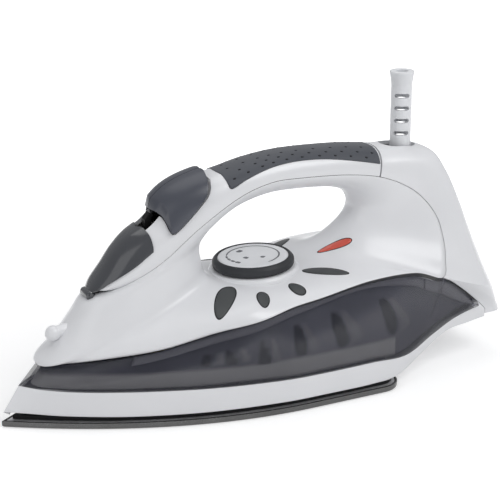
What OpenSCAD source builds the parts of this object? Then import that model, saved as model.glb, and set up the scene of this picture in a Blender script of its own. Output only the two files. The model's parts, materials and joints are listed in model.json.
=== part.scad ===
// Steam iron with side water tank, thermostat dial and swivelling cord guard.
// Millimetres. X runs from the nose (-X) to the heel (+X), Z is up from the sole,
// and Y = 0 is the plane of symmetry. The origin is under the middle of the length.

/* [Soleplate] */
// Length of the soleplate, nose to rear edge
sole_l = 224; // [212:1:232]
// Half of the soleplate's greatest width
sole_half_w = 57; // [54:0.5:60]
// Share of the sole's length at which it reaches its full width
sole_shoulder = 0.732; // [0.67:0.005:0.78]
// Height of the turned-up metal rim
rim_h = 3.6; // [3:0.1:4.5]
// Thickness of the sole sheet
sole_sheet_t = 1.0; // [0.8:0.1:1.4]
// Radius of each rear corner
sole_corner_r = 13; // [10:1:20]
// Radius of a steam hole
steam_hole_r = 1.4; // [1:0.1:1.8]

/* [Housing] */
// Wall of the moulded housings
wall = 2.2; // [1.8:0.1:2.6]
// Wall of the water tank
tank_wall = 2.0; // [1.6:0.1:2.4]
// Seam left between neighbouring mouldings
seam = 0.15; // [0.1:0.05:0.25]
// Height of the heat shield's visible band above the metal rim
shield_band_h = 2.6; // [2:0.1:3]
// How far the band stands in from the sole's edge
shield_inset = 3.6; // [3:0.1:4.5]

/* [Handle] */
// Exponent of the rounded sections, 2 is an ellipse
section_n = 2.4; // [2.1:0.1:2.8]
// Exponent of the heel's boxier sections
heel_n = 5.5; // [4:0.1:6.5]

/* [Fill door] */
// Thickness of the fill door
door_t = 2.3; // [1.8:0.1:2.8]
// Gap between the door and the cover below it
door_gap = 0.4; // [0.3:0.05:0.6]
// Radius of the door's hinge pin
door_pin_r = 1.2; // [1:0.05:1.4]

/* [Buttons] */
// Thickness of the button caps
button_t = 1.6; // [1.4:0.1:2]
// Gap between a cap and the handle's skin below it, which lets the cap slide down
button_gap = 1.3; // [1.1:0.05:1.5]
// Outer radius of a pump body
pump_r = 4.4; // [4:0.1:4.8]
// Distance of each pump axis from the middle plane
pump_y = 6.3; // [5.8:0.1:6.6]

/* [Dial] */
// Outer radius of the dial's ring
dial_r = 23.6; // [22:0.2:25]
// Radius of the light disc inside the ring
dial_disc_r = 20.4; // [19:0.2:21.5]
// Height of the dial
dial_h = 6.4; // [5.5:0.1:7.5]
// Lean of the dial's axis towards the nose, in degrees
dial_tilt = 3; // [0:0.5:5]
// Radius of the thermostat spindle
spindle_r = 3.0; // [2.6:0.1:3.4]

/* [Cord guard] */
// Radius of the swivel ball
ball_r = 10.5; // [9.5:0.1:11.5]
// Outer radius of the guard's sleeve
guard_r = 6.2; // [5.6:0.1:6.8]
// Radius of the cord bore through ball and guard
cord_bore_r = 3.7; // [3.4:0.1:4]
// Length of the guard above the housing
guard_l = 42; // [36:1:48]

/* [Hidden] */
$fn = 40;
fit = 0.05;              // radial clearance of a running fit
clear = 0.3;             // clearance between parts that only pass each other
seat = 0.1;              // gap under a part that stands on another
drawn_l = 224;           // length and half width of the sole that the tables are drawn for
drawn_half_w = 57;
kx = sole_l / drawn_l;
ky = sole_half_w / drawn_half_w;
overall_l = 307 * kx;    // nose to heel
sole_shoulder_x = sole_shoulder * sole_l;
spread = 2;              // polyhedron rows per control ray
half_rows = 8;           // rows from the finger gap to the edge of a half

// ---- plain helpers -------------------------------------------------------
function lerp(a, b, t) = a + (b - a) * t;
function unit(v) = v / norm(v);
function clamp01(t) = min(1, max(0, t));
// Drawn places, stretched to the sole's real length and width.
function stretch(p) = [kx * p[0], ky * p[1], p[2]];
function along(outline) = [for (p = outline) [kx * p[0], p[1]]];

// Catmull-Rom value at u along a list of rows; a closed list wraps round.
function curve_row(rows, i, closed) =
    closed ? rows[(i + len(rows)) % len(rows)] : rows[min(len(rows) - 1, max(0, i))];
function curve(rows, u, closed = false) =
    let(i = floor(u), t = u - i,
        a = curve_row(rows, i - 1, closed), b = curve_row(rows, i, closed),
        c = curve_row(rows, i + 1, closed), d = curve_row(rows, i + 2, closed))
    b + 0.5 * t * (c - a + t * (2 * a - 5 * b + 4 * c - d + t * (3 * (b - c) + d - a)));

// Signed power of a cosine, which turns an ellipse into a superellipse.
function spow(c, n) = sign(c) * pow(abs(c), 2 / n);

// Everything below is drawn with x = 0 at the nose and moved once.
module from_nose() translate([-overall_l / 2, 0, 0]) children();

// ---- grids of points turned into closed shells ---------------------------
// Unit normal at a grid point, by differences to its neighbours.
function grid_normal(g, i, j, wrap) =
    let(n = len(g), m = len(g[0]),
        i0 = wrap ? (i + n - 1) % n : max(0, i - 1),
        i1 = wrap ? (i + 1) % n : min(n - 1, i + 1),
        j0 = max(0, j - 1), j1 = min(m - 1, j + 1),
        c = cross(g[i1][j] - g[i0][j], g[i][j1] - g[i][j0]))
    unit(c);

// Faces between rows i and i + 1 of an indexed grid.
function quads(idx, n, m, wrap, flip) = [
    for (i = [0 : (wrap ? n - 1 : n - 2)], j = [0 : m - 2])
        let(k = (i + 1) % n,
            q = [idx[i][j], idx[i][j + 1], idx[k][j + 1], idx[k][j]])
        flip ? [q[3], q[2], q[1], q[0]] : q];

// Rim between the outer and the inner grid along one border.
function rim(outer_ids, inner_ids, flip) = [
    for (i = [0 : len(outer_ids) - 2])
        let(q = [outer_ids[i], outer_ids[i + 1], inner_ids[i + 1], inner_ids[i]])
        if (outer_ids[i] != outer_ids[i + 1])
            flip ? [q[3], q[2], q[1], q[0]] : q];

// Shell of two grids that is open on all four borders.
module open_shell(outer, inner) {
    n = len(outer);
    m = len(outer[0]);
    a = [for (i = [0 : n - 1]) [for (j = [0 : m - 1]) i * m + j]];
    b = [for (i = [0 : n - 1]) [for (j = [0 : m - 1]) n * m + i * m + j]];
    polyhedron(
        points = concat([for (r = outer) each r], [for (r = inner) each r]),
        faces = concat(
            quads(a, n, m, false, false), quads(b, n, m, false, true),
            rim([for (r = a) r[0]], [for (r = b) r[0]], false),
            rim([for (r = a) r[m - 1]], [for (r = b) r[m - 1]], true),
            rim(a[0], b[0], true), rim(a[n - 1], b[n - 1], false)),
        convexity = 10);
}

// ---- soleplate outline ---------------------------------------------------
// Half width of the sole at a distance x behind the nose.
function sole_half(x) =
    x < sole_shoulder_x ? sole_half_w * (1 - pow(1 - max(0, x) / sole_shoulder_x, 2)) : sole_half_w;

// Right half of the outline, nose to the middle of the rear edge.
function sole_side(steps = 20) = concat(
    [for (i = [0 : steps]) let(x = (sole_l - sole_corner_r) * pow(i / steps, 1.5)) [x, sole_half(x)]],
    [for (a = [75 : -15 : 0])
        [sole_l, sole_half_w] + sole_corner_r * [cos(a) - 1, sin(a) - 1]]);

// The same half outline, moved inwards. The nose moves by the share 1 / sin of its half angle.
nose_share = norm([1, sole_shoulder_x / (2 * sole_half_w)]);
function inset_side(side, d) = [
    for (i = [0 : len(side) - 1])
        let(t = unit(side[min(len(side) - 1, i + 1)] - side[max(0, i - 1)]),
            p = side[i] + d * [t[1], -t[0]])
        i == 0 ? [side[0][0] + nose_share * d, 0]
               : [max(side[0][0] + nose_share * d + 0.02 * i, p[0]), max(0.02 * i, p[1])]];
function closed_outline(side) = concat(
    side, [for (i = [len(side) - 1 : -1 : 1]) [side[i][0], -side[i][1]]]);
module sole_shape(d) polygon(closed_outline(inset_side(sole_side(), d)));

// ---- stacked half loops: closed solids symmetric about Y = 0 -------------
// loops is a list of loops, lowest first; each is the right half of an outline as
// 3D points from the nose (y = 0) to the last point, and is mirrored here.
module loop_loft(loops) {
    k = len(loops[0]);
    per = 2 * k - 1;
    ring = [for (l = loops) concat(l, [for (i = [k - 1 : -1 : 1]) [l[i][0], -l[i][1], l[i][2]]])];
    top = (len(loops) - 1) * per;
    polyhedron(
        points = [for (r = ring) each r],
        faces = concat(
            [for (r = [0 : len(loops) - 2], i = [0 : per - 1])
                [r * per + i, r * per + (i + 1) % per, (r + 1) * per + (i + 1) % per, (r + 1) * per + i]],
            cap_faces(0, k, per, false), cap_faces(top, k, per, true)),
        convexity = 10);
}
// Cap that joins each point to its mirror image.
function cap_faces(base, k, per, flip) = concat(
    [orient([base, base + 1, base + per - 1], flip)],
    [for (i = [1 : k - 2]) orient([base + i, base + i + 1, base + per - i - 1, base + per - i], flip)]);
function orient(f, flip) = flip ? f : [for (i = [len(f) - 1 : -1 : 0]) f[i]];

// ---- the upper body: rays round the finger gap ---------------------------
// Each ray starts on the gap's rim at (gx, gz) in the middle plane and ends on an
// edge of the main housing at (cx, cz). w_in and w_out are the half widths near the
// rim and near the edge, and phi is the angle of the rounded section at the edge:
// 90 is its widest place, 180 closes it on the front ridge.
// Rows: gx, gz, cx, cz, w_in, w_out, phi.
RAYS = [
    [150, 67.5, 150, 57, 51.6, 51.6, 62],
    [138, 67, 115, 50.3, 44, 44, 106],
    [130, 67, 80, 42, 36, 40, 127],
    [125, 68.5, 50, 37.2, 28, 33, 147],
    [122.5, 71, 31, 35, 22, 25, 160],
    [121, 74, 20.4, 34.3, 20, 22, 180],
    [120, 78, 31, 45, 19, 20.5, 180],
    [119, 82, 40.3, 57, 18, 19, 180],
    [118.5, 86, 49.5, 68.5, 17, 18, 180],
    [119, 90, 69.6, 74.7, 16, 17, 135],
    [121, 94.5, 90, 85, 15.5, 17, 115],
    [126, 100, 113, 102, 15.5, 17, 100],
    [138, 107.5, 137, 116, 16, 17, 90],
    [157, 112.5, 157, 122, 16.5, 17, 88],
    [177, 113, 176, 122.3, 16.5, 17, 88],
    [200, 111, 208, 120, 16.5, 17, 90],
    [213, 106, 232, 115, 16.5, 18, 95],
    [218, 99, 251, 105, 17, 21, 105],
    [217, 93, 263, 91, 18, 27, 112],
    [213, 87.5, 267, 77, 20, 33, 112],
    [207, 82, 266, 68, 24, 38.5, 108],
    [200, 77, 258.5, 59.5, 30, 43, 100],
    [191, 72.5, 235, 64.5, 38, 46, 82],
    [180, 69.5, 205, 64.5, 45, 48.3, 72],
    [165, 68, 175, 61, 50, 50.2, 66]];
n_rays = len(RAYS);
ridge_first = 5;         // rays from the tank's nose to the cover's tip close on the ridge
ridge_last = 8;
tank_end_ray = 21;       // the tank's edge meets the rear cover here

// Point of the outer skin on ray u at v, 0 on the rim and 1 on the edge.
function ray_point(u, v, trim = 0) =
    let(r = curve(RAYS, u, true),
        phi_end = (u >= ridge_first && u <= ridge_last) ? 180 : min(180, r[6]),
        g = [kx * r[0], r[1]], c0 = [kx * r[2], r[3]],
        closed_ray = phi_end >= 180,
        c = c0 - (closed_ray ? 0 : trim) * unit(c0 - g),
        phi = v * phi_end,
        a = (1 - spow(cos(phi), section_n)) / (1 - spow(cos(phi_end), section_n)),
        w = ky * lerp(r[4], r[5], a * a),
        y = (phi <= 0 || phi >= 180) ? 0 : w * pow(sin(phi), 2 / section_n),
        p = g + (c - g) * a)
    [p[0], y, p[1]];

// ---- lower edge curves ---------------------------------------------------
// Stations from the nose to the tail: x, half width, z.
SKIRT_BOTTOM = [[1.2, 0, 8.8], [12, 5.8, 8], [32, 17.9, 7], [64, 33.6, 6.4], [104, 47.2, 6.4],
                [145, 54.3, 6.4], [175, 55.3, 6.4], [203, 55, 6.4], [222, 52, 7.2],
                [244, 46, 16.5], [262, 41.5, 23.6], [279, 38.4, 24.8], [292.7, 36, 25.5]];
TANK_BOTTOM = [[10.4, 0, 22.7], [21, 10.8, 22], [40, 21.4, 20.8], [70, 34.6, 20.2], [107, 46, 19.4],
               [147, 52.8, 18.8], [175, 54, 18.8], [204, 53.6, 18.9], [228, 50.6, 17.8],
               [248, 46.3, 25], [267, 41.4, 30.6], [286, 37.3, 33], [292.7, 36, 30.4]];
TANK_REAR_EDGE = [[235, 45.6, 64.5], [258.5, 42.6, 59.5], [271.5, 40.2, 48.8], [286.6, 37.1, 36.4],
                  [292.7, 36, 30.5], [292.7, 36, 27.4]];
stations = 11;           // the tank ends at this station

function skirt_bottom(q) = stretch(curve(SKIRT_BOTTOM, q));
function tank_bottom(q) = stretch(curve(TANK_BOTTOM, q));
function rear_edge(u) = stretch(curve(TANK_REAR_EDGE, 1 + (u - tank_end_ray)));
function tank_top(q) =
    q <= 9 ? ray_point(((5 - q) + n_rays) % n_rays, 1) : rear_edge(tank_end_ray + q - 9);

// Outer side of the tank between its bottom and top edges.
tank_bulge = 1.6;
tank_drop = 0.4;         // gap between the tank's top and the housing's edge
function tank_skin(q, t) =
    let(a = tank_bottom(q), b = tank_top(q), p = lerp(a, b, t),
        e = tank_bulge * sin(180 * t) * clamp01(q / 1.5))
    [p[0], p[1] + (q == 0 ? 0 : e), p[2] - t * tank_drop];
// Behind the tank the skirt's tail rises to the rear cover's edge.
function skirt_top(q) = q <= stations ? tank_bottom(q) : tank_top(q);
function skirt_skin(q, t) = lerp(skirt_bottom(q), skirt_top(q), t);

// Moves a half loop inwards in plan by d, and up by dz.
function plan_inset(loop, d, dz = 0) = [
    for (i = [0 : len(loop) - 1])
        let(a = loop[max(0, i - 1)], b = loop[min(len(loop) - 1, i + 1)],
            t = unit([b[0] - a[0], b[1] - a[1]]),
            p = [loop[i][0] + d * t[1], loop[i][1] - d * t[0]])
        i == 0 ? [loop[0][0] + nose_share * d, 0, loop[0][2] + dz]
               : [max(loop[0][0] + nose_share * d + 0.05 * i, p[0]), max(0.05 * i, p[1]), loop[i][2] + dz]];

// ---- handle cover and rear cover sections --------------------------------
// Ridge of the covers in the middle plane, one point for each value of the ray u.
// Rows: u, x, z.
heel_z = 27.4;           // underside of the heel
RIDGE = [[8.25, 50.6, 70.2], [8.6, 51.6, 72], [9, 54, 76], [9.5, 59.5, 83], [10, 66, 92], [10.5, 74, 99.5],
         [11, 85.5, 105.5], [11.5, 101, 118.5], [12, 120, 126], [12.5, 136, 129.5], [13, 152, 132.8],
         [14, 175, 135], [15, 208, 134], [15.8, 231, 131.6], [16.4, 250, 130.5], [17, 268, 126.5],
         [17.6, 276, 116], [18.4, 283, 98], [19.2, 290, 76], [20, 296, 58], [21, 300.5, 44],
         [22, 303.5, 36], [23, 305, 32.5], [24, 306.2, 30], [25, 307, heel_z]];
function ridge_index(u, i = 0) =
    i >= len(RIDGE) - 2 || RIDGE[i + 1][0] > u ? i : ridge_index(u, i + 1);
function ridge(u) =
    let(i = ridge_index(u), t = (u - RIDGE[i][0]) / (RIDGE[i + 1][0] - RIDGE[i][0]),
        r = curve(RIDGE, i + t))
    [kx * r[1], r[2]];

seam_u = 15.8;           // handle cover and rear cover meet at this ray
tail_u = 25;
// Lower edge of the covers: the housing's edge, then the tank's rear edge.
function cover_edge(u) =
    u <= tank_end_ray ? ray_point(u, 1) : rear_edge(u);

// Section through a cover from its edge (s = -1 and s = 1) over the ridge (s = 0).
function cover_point(u, s, trim = 0) =
    let(e0 = cover_edge(u), r = ridge(u),
        g = [r[0] - e0[0], r[1] - e0[2]],
        e = [e0[0], e0[2]] + trim * unit(g),
        n = lerp(section_n, heel_n, clamp01((u - 16) / 5)),
        f = pow(cos(90 * s), 2 / n), w = pow(abs(sin(90 * s)), 2 / n))
    [lerp(e[0], r[0], f), sign(s) * e0[1] * w, lerp(e[1], r[1], f)];

// Grid of a cover between two rays, moved out along its normals by d.
cover_cols = 12;
function cover_grid(u_list) = [
    for (u = u_list) [for (j = [0 : cover_cols]) cover_point(u, -1 + 2 * j / cover_cols, seam)]];
function flat_in(n) = [n[0], n[1], 0] / max(0.35, n[0] * n[0] + n[1] * n[1]);
function offset_grid(g, d, wrap = false) = [
    for (i = [0 : len(g) - 1]) [for (j = [0 : len(g[0]) - 1])
        let(n = grid_normal(g, i, j, wrap), edge = (j == 0 || j == len(g[0]) - 1))
        g[i][j] + d * (edge ? flat_in(n) : n)]];

function ray_list(a, b, n) = [for (i = [0 : n]) lerp(a, b, i / n)];

// ---- main housing --------------------------------------------------------
function housing_u(i) = i / spread;
function on_ridge(i) = housing_u(i) >= ridge_first && housing_u(i) <= ridge_last;
function housing_grid() = [
    for (i = [0 : n_rays * spread - 1]) [
        for (j = [0 : 2 * half_rows])
            let(v = abs(1 - j / half_rows), p = ray_point(housing_u(i), v, seam))
            [p[0], j > half_rows ? -p[1] : p[1], p[2]]]];
function housing_normal(g, i, j) =
    let(n = len(g), m = 2 * half_rows, i0 = (i + n - 1) % n, i1 = (i + 1) % n,
        edge = (j == 0 || j == m),
        c = edge && on_ridge(i)
            ? cross(g[i1][0] - g[i0][0], g[i][1] - g[i][m - 1])
            : cross(g[i1][j] - g[i0][j], g[i][min(m, j + 1)] - g[i][max(0, j - 1)]))
    unit(c);
function housing_inner(g) = [
    for (i = [0 : len(g) - 1]) [for (j = [0 : 2 * half_rows])
        let(n = housing_normal(g, i, j), edge = (j == 0 || j == 2 * half_rows),
            p = g[i][j] - wall * (edge ? flat_in(n) : n))
        on_lower_side(i) ? max_z(p, max(g[i][0][2], lookup(p[0], tank_roof))) : p]];
// Rays that end on the tank: the inner wall there stays above the tank's top.
tank_roof = [for (q = [0 : 0.5 : 10]) [tank_top(q)[0], tank_top(q)[2]]];
function on_lower_side(i) = housing_u(i) <= 4.5 || housing_u(i) >= 19;
function max_z(p, z) = [p[0], p[1], max(p[2], z)];

module housing_shell() {
    g = housing_grid();
    h = housing_inner(g);
    n = len(g);
    m = 2 * half_rows + 1;
    a = [for (i = [0 : n - 1]) [for (j = [0 : m - 1]) i * m + (on_ridge(i) && j == m - 1 ? 0 : j)]];
    b = [for (r = a) [for (k = r) k + n * m]];
    right_a = [for (i = [0 : n]) a[i % n][0]];
    right_b = [for (i = [0 : n]) b[i % n][0]];
    left_a = [for (i = [0 : n]) a[i % n][m - 1]];
    left_b = [for (i = [0 : n]) b[i % n][m - 1]];
    polyhedron(
        points = concat([for (r = g) each r], [for (r = h) each r]),
        faces = concat(
            quads(a, n, m, true, false), quads(b, n, m, true, true),
            [for (i = [0 : n - 1]) if (!(on_ridge(i) && on_ridge((i + 1) % n)))
                each [[right_a[i], right_a[i + 1], right_b[i + 1], right_b[i]],
                      [left_b[i], left_b[i + 1], left_a[i + 1], left_a[i]]]]),
        convexity = 12);
}

// ---- places of the inner works -------------------------------------------
rod_x = 95 * kx;              // steam valve rod
pump_x = 104.5 * kx;          // both pumps
funnel_x = 68 * kx;           // fill funnel
dial_x = 154.5 * kx;          // dial centre at the deck
pad_z = 68.2;            // top of the pad under the dial
dial_z = pad_z + 0.6;    // underside of the dial
ball_x = 252 * kx;            // swivel ball
ball_z = 118;
wire_x = 205 * kx;            // tunnel for the leads
block_x = 246 * kx;           // terminal block
inlet_z = 42.5;          // flat boss round the tank's inlet
pump_seat_z = 53;        // flat bosses under the pumps
block_seat_z = 66;       // flat boss under the terminal block
spray_z = 60;            // outlet of the spray pump
chamber_x0 = 66 * kx;         // steam chamber, from the centre of its round nose to its rear wall
chamber_x1 = 141 * kx;
chamber_z1 = 10;
lid_t = 1.2;             // steam chamber cover
shield_z0 = rim_h + 0.2;
shield_z1 = 16.2;
shield_t = 1.6;
skirt_top_t = 1.6;
seal_t = 1.6;
riser_r = 2.2;           // tubes between the tank, the pumps and the chamber
nipple_r = 1.6;
wire_r = 1.3;            // insulated lead
screw_r = 1.7;
screw_head_r = 3.4;
screw_places = [for (p = [[42, 0], [128, 39.5], [128, -39.5], [203, 33], [203, -33]]) [kx * p[0], ky * p[1]]];

module tilted_at_dial() translate([dial_x, 0, pad_z]) rotate([0, -dial_tilt, 0]) children();
module tube(r_out, r_in, z0, z1) translate([0, 0, z0]) difference() {
    cylinder(r = r_out, h = z1 - z0);
    translate([0, 0, -1]) cylinder(r = r_in, h = z1 - z0 + 2);
}
// Round-ended slot along X, from x0 to x1.
module slot(x0, x1, r, z0, z1) translate([0, 0, z0]) linear_extrude(z1 - z0) {
    translate([x0, 0]) circle(r);
    translate([x1, 0]) circle(r);
    translate([x0, -r]) square([x1 - x0, 2 * r]);
}
// Flexible tube or lead: a smooth sweep of radius r along a path. The reference vector
// must not point along the path anywhere.
sweep_sides = 8;
sweep_steps = 4;
module sweep(path, r, reference) {
    k = sweep_steps * (len(path) - 1);
    c = [for (i = [0 : k]) curve(path, min(i / sweep_steps, len(path) - 1.0001))];
    rings = [for (i = [0 : k])
        let(t = unit(c[min(k, i + 1)] - c[max(0, i - 1)]), u = unit(cross(t, reference)), v = cross(u, t))
        for (j = [0 : sweep_sides - 1]) let(a = 360 * j / sweep_sides) c[i] + r * (cos(a) * u + sin(a) * v)];
    polyhedron(rings, tube_faces(k, sweep_sides));
}
// Faces of a closed tube of k segments, with both end caps.
function tube_faces(k, sides) = concat(
    [[for (j = [sides - 1 : -1 : 0]) j]],
    [for (i = [0 : k - 1], j = [0 : sides - 1])
        let(a = i * sides + j, b = i * sides + (j + 1) % sides) [a, b, b + sides, a + sides]],
    [[for (j = [0 : sides - 1]) k * sides + j]]);
// Solid between the planes y = -w and y = w with a side outline.
module side_prism(outline, w = 80)
    rotate([90, 0, 0]) translate([0, 0, -w]) linear_extrude(2 * w) polygon(outline);

// ---- soleplate -----------------------------------------------------------
sole_rows = [[0, 1.4], [0.35, 0.6], [1.1, 0.1], [rim_h - 0.5, 0], [rim_h, 0.4]];
// Steam holes: rows along each side and a row across the nose.
steam_holes = [for (i = [0 : 8]) let(x = kx * (34 + 20 * i))
    each [[x, sole_half(x) * 0.62], [x, -sole_half(x) * 0.62]]];
nose_holes = along([[22, 0], [40, 0], [58, 0], [76, 0]]);
module soleplate_sheet() color("dimgray") from_nose() difference() {
    loop_loft([for (r = sole_rows) [for (p = inset_side(sole_side(), r[1])) [p[0], p[1], r[0]]]]);
    translate([0, 0, sole_sheet_t]) linear_extrude(rim_h) sole_shape(1.5);
    for (p = concat(steam_holes, nose_holes)) translate([p[0], p[1], -1])
        cylinder(r = steam_hole_r, h = 3, $fn = 16);
}

// The element is a U of tube: an arc behind the nose and two spreading legs.
element_r = 3.4;
element_arc = [66 * kx, 18];  // centre distance and radius of the arc
element_spread = 7.5;    // angle of each leg
element_z = 7.2;
leg_l = sole_l - 94;
leg_dir = [cos(element_spread), sin(element_spread), 0];
leg_start = element_arc[1] * [-sin(element_spread), cos(element_spread), 0];
leg_end = [element_arc[0], 0, element_z] + leg_start + leg_l * leg_dir;
terminal_at = leg_end - element_r * leg_dir;
function mirrored(p) = [p[0], -p[1], p[2]];
module element_tube(r) {
    c = [element_arc[0], 0, element_z];
    leg = [for (t = [1, 0.66, 0.33, 0.02]) c + leg_start + t * leg_l * leg_dir];
    arc_steps = 6;
    sweep_l = (180 - 2 * element_spread) / arc_steps;
    arc = [for (i = [0 : arc_steps]) let(a = 90 + element_spread + i * sweep_l)
        c + element_arc[1] * [cos(a), sin(a), 0]];
    sweep(concat(leg, arc, [for (i = [len(leg) - 1 : -1 : 0]) mirrored(leg[i])]), r, [0, 0, 1]);
    for (p = [terminal_at, mirrored(terminal_at)]) translate(p) cylinder(r = r * 0.7, h = terminal_h);
}
terminal_h = 5.5;        // the element's ends turn up to their terminals
element_land = 5.2;      // half width of the ridge cast round the element
// Ridge cast round the element: one U outline, its arc and both legs.
module element_land_shape() {
    a0 = 90 + element_spread;
    along = (leg_l - 9) * [cos(element_spread), sin(element_spread)];
    function on_arc(r, a) = r * [cos(a), sin(a)];
    function arc(r, from, step) = [for (i = [0 : 12]) on_arc(r, from + i * step)];
    r_out = element_arc[1] + element_land;
    r_in = element_arc[1] - element_land;
    step = (180 - 2 * element_spread) / 12;
    polygon(concat(
        [on_arc(r_out, a0) + along], arc(r_out, a0, step), [on_arc(r_out, -a0) + [along[0], -along[1]]],
        [on_arc(r_in, -a0) + [along[0], -along[1]]], arc(r_in, 360 - a0, -step), [on_arc(r_in, a0) + along]));
}
// Tapered chamber with a round nose, grown outwards by d.
module chamber_shape(d) {
    polygon(concat(
        [for (a = [100 : 20 : 260]) [chamber_x0 + (8 + d) * cos(a), (8 + d) * sin(a)]],
        [[chamber_x1 + d, -18 - d], [chamber_x1 + d, 18 + d]]));
}
thermostat_seat_z = 4.6;
module soleplate_casting() color("silver") from_nose() difference() {
    union() {
        translate([0, 0, sole_sheet_t]) linear_extrude(rim_h - sole_sheet_t) sole_shape(1.6);
        translate([0, 0, sole_sheet_t]) linear_extrude(chamber_z1 - sole_sheet_t) chamber_shape(3);
        translate([element_arc[0], 0, sole_sheet_t]) linear_extrude(element_z + 3.2) element_land_shape();
        translate([dial_x + 3, 0, sole_sheet_t]) cylinder(r = 12, h = thermostat_seat_z - sole_sheet_t);
        for (p = screw_places) translate([p[0], p[1], sole_sheet_t])
            cylinder(r = 4, h = shield_z1 - shield_t - seat - sole_sheet_t);
    }
    translate([0, 0, rim_h]) linear_extrude(20) chamber_shape(0);
    element_tube(element_r + fit);
    for (p = screw_places) translate([p[0], p[1], rim_h + 1]) cylinder(r = screw_r + 0.02, h = 20);
    for (p = concat(steam_holes, nose_holes)) translate([p[0], p[1], 0])
        cylinder(r = steam_hole_r + 0.6, h = 2.6, $fn = 16);
}
module heating_element() color("darkgray") from_nose() element_tube(element_r);
module steam_chamber_cover() color("lightsteelblue") from_nose() difference() {
    translate([0, 0, chamber_z1]) linear_extrude(lid_t) chamber_shape(3);
    translate([rod_x, 0, 0]) cylinder(r = valve_r + fit, h = 30);
    translate([pump_x, pump_y, 0]) cylinder(r = riser_r + fit, h = 30);
}
module heat_shield() color([0.06, 0.06, 0.07]) from_nose() difference() {
    union() {
        translate([0, 0, shield_z0]) linear_extrude(shield_band_h - 0.2) difference() {
            sole_shape(shield_inset);
            sole_shape(shield_inset + 5.4);
        }
        translate([0, 0, shield_z0]) linear_extrude(shield_z1 - shield_z0) difference() {
            sole_shape(shield_inset + 3.4);
            sole_shape(shield_inset + 5.4);
        }
        translate([0, 0, shield_z1 - shield_t]) linear_extrude(shield_t) sole_shape(shield_inset + 3.4);
    }
    translate([rod_x, 0, 10]) cylinder(r = valve_r + 0.6, h = 10);
    translate([pump_x, pump_y, 10]) cylinder(r = riser_r + clear, h = 10);
    tilted_at_dial() translate([0, 0, -60]) cylinder(r = thermostat_r + 1.5, h = 20);
    translate([wire_x, 0, 10]) cylinder(r = wire_tunnel_r - 1, h = 10);
    for (p = screw_places) translate([p[0], p[1], 10]) cylinder(r = screw_r + fit, h = 10);
}
// Screws that hold the heat shield down on the casting's bosses.
module shield_screws() color("silver") from_nose()
    for (p = screw_places) translate([p[0], p[1], 0]) difference() {
    union() {
        translate([0, 0, rim_h + 1.4]) cylinder(r = screw_r, h = shield_z1 - rim_h - 1.4);
        translate([0, 0, shield_z1]) cylinder(r = screw_head_r, h = 1.8);
    }
    translate([0, 0, shield_z1 + 1]) rotate([0, 0, 45]) cube([4.4, 0.8, 1.8], center = true);
    translate([0, 0, shield_z1 + 1]) rotate([0, 0, -45]) cube([4.4, 0.8, 1.8], center = true);
}
fuse_x = 181 * kx;
module thermal_fuse() color("wheat") from_nose() difference() {
    union() {
        translate([fuse_x, -9, rim_h + 2.9 + seat]) rotate([-90, 0, 0]) cylinder(r = 2.6, h = 18);
        translate([fuse_x - 3.5, -2.5, rim_h + seat]) cube([7, 5, 3]);
    }
    translate([fuse_x, -10, rim_h + 2.9 + seat]) rotate([-90, 0, 0]) cylinder(r = 0.8, h = 3);
}

// ---- skirt and tank ------------------------------------------------------
loop_q = [for (i = [0 : spread * stations]) i / spread];
skirt_q = concat(loop_q, [stations + 0.03, 11.5, 12]);
cavity_q = [for (i = [0 : 20]) 7.9 * i / 20];
tail_q = [for (i = [0 : 8]) lerp(8.15, 11.6, i / 8)];
module skirt() color("gainsboro") from_nose() difference() {
    loop_loft([for (t = [0, 0.5, 1]) [for (s = skirt_q) skirt_skin(s, t) - [0, 0, t * seam]]]);
    loop_loft([
        plan_inset([for (s = cavity_q) skirt_skin(s, 0)], wall, -2),
        plan_inset([for (s = cavity_q) skirt_skin(s, 0)], wall, 0),
        plan_inset([for (s = cavity_q) skirt_skin(s, 1)], wall, -skirt_top_t)]);
    tail_pocket();
    translate([rod_x, 0, 10]) cylinder(r = valve_r + 2 * clear, h = 20);
    translate([pump_x, pump_y, 10]) cylinder(r = riser_r + 2 * clear, h = 20);
    tilted_at_dial() translate([0, 0, -60]) cylinder(r = tunnel_r, h = 40);
    translate([wire_x, 0, 5]) cylinder(r = wire_tunnel_r, h = 20);
    for (p = screw_places) translate([p[0], p[1], 10]) cylinder(r = screw_head_r + clear, h = 20);
}
// The tail is a tray, open towards the tank and the rear cover.
module tail_pocket() {
    edge = plan_inset([for (s = tail_q) skirt_bottom(s) + [0, 0, skirt_top_t]], wall);
    side = [for (i = [1 : len(edge) - 1]) edge[i]];
    last = len(side) - 1;
    intersection() {
        side_prism(concat(
            [[side[0][0] - 2, side[0][2]]], [for (p = side) [p[0], p[2]]],
            [[side[last][0] + 2, side[last][2]], [side[last][0] + 2, 70], [side[0][0] - 2, 70]]));
        linear_extrude(80) polygon(concat(
            [for (p = side) [p[0], p[1]]], [for (i = [last : -1 : 0]) [side[i][0], -side[i][1]]]));
    }
}
tank_inner_q = [for (i = [0 : 22]) 10.6 * i / 22];
tunnel_r = 7;
wire_tunnel_r = 7;
valve_r = 5;             // body of the steam valve's seat
pump_flange_r = 5.6;
module tank_cavity() loop_loft([
    plan_inset([for (s = tank_inner_q) tank_skin(s, 0)], tank_wall, tank_wall),
    plan_inset([for (s = tank_inner_q) tank_skin(s, 0.35)], tank_wall, 0),
    plan_inset([for (s = tank_inner_q) tank_skin(s, 0.7)], tank_wall, 0),
    plan_inset([for (s = tank_inner_q) tank_skin(s, 1)], tank_wall, -tank_wall)]);
module at_pumps() for (m = [-1, 1]) translate([pump_x, m * pump_y, 0]) children();
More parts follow.
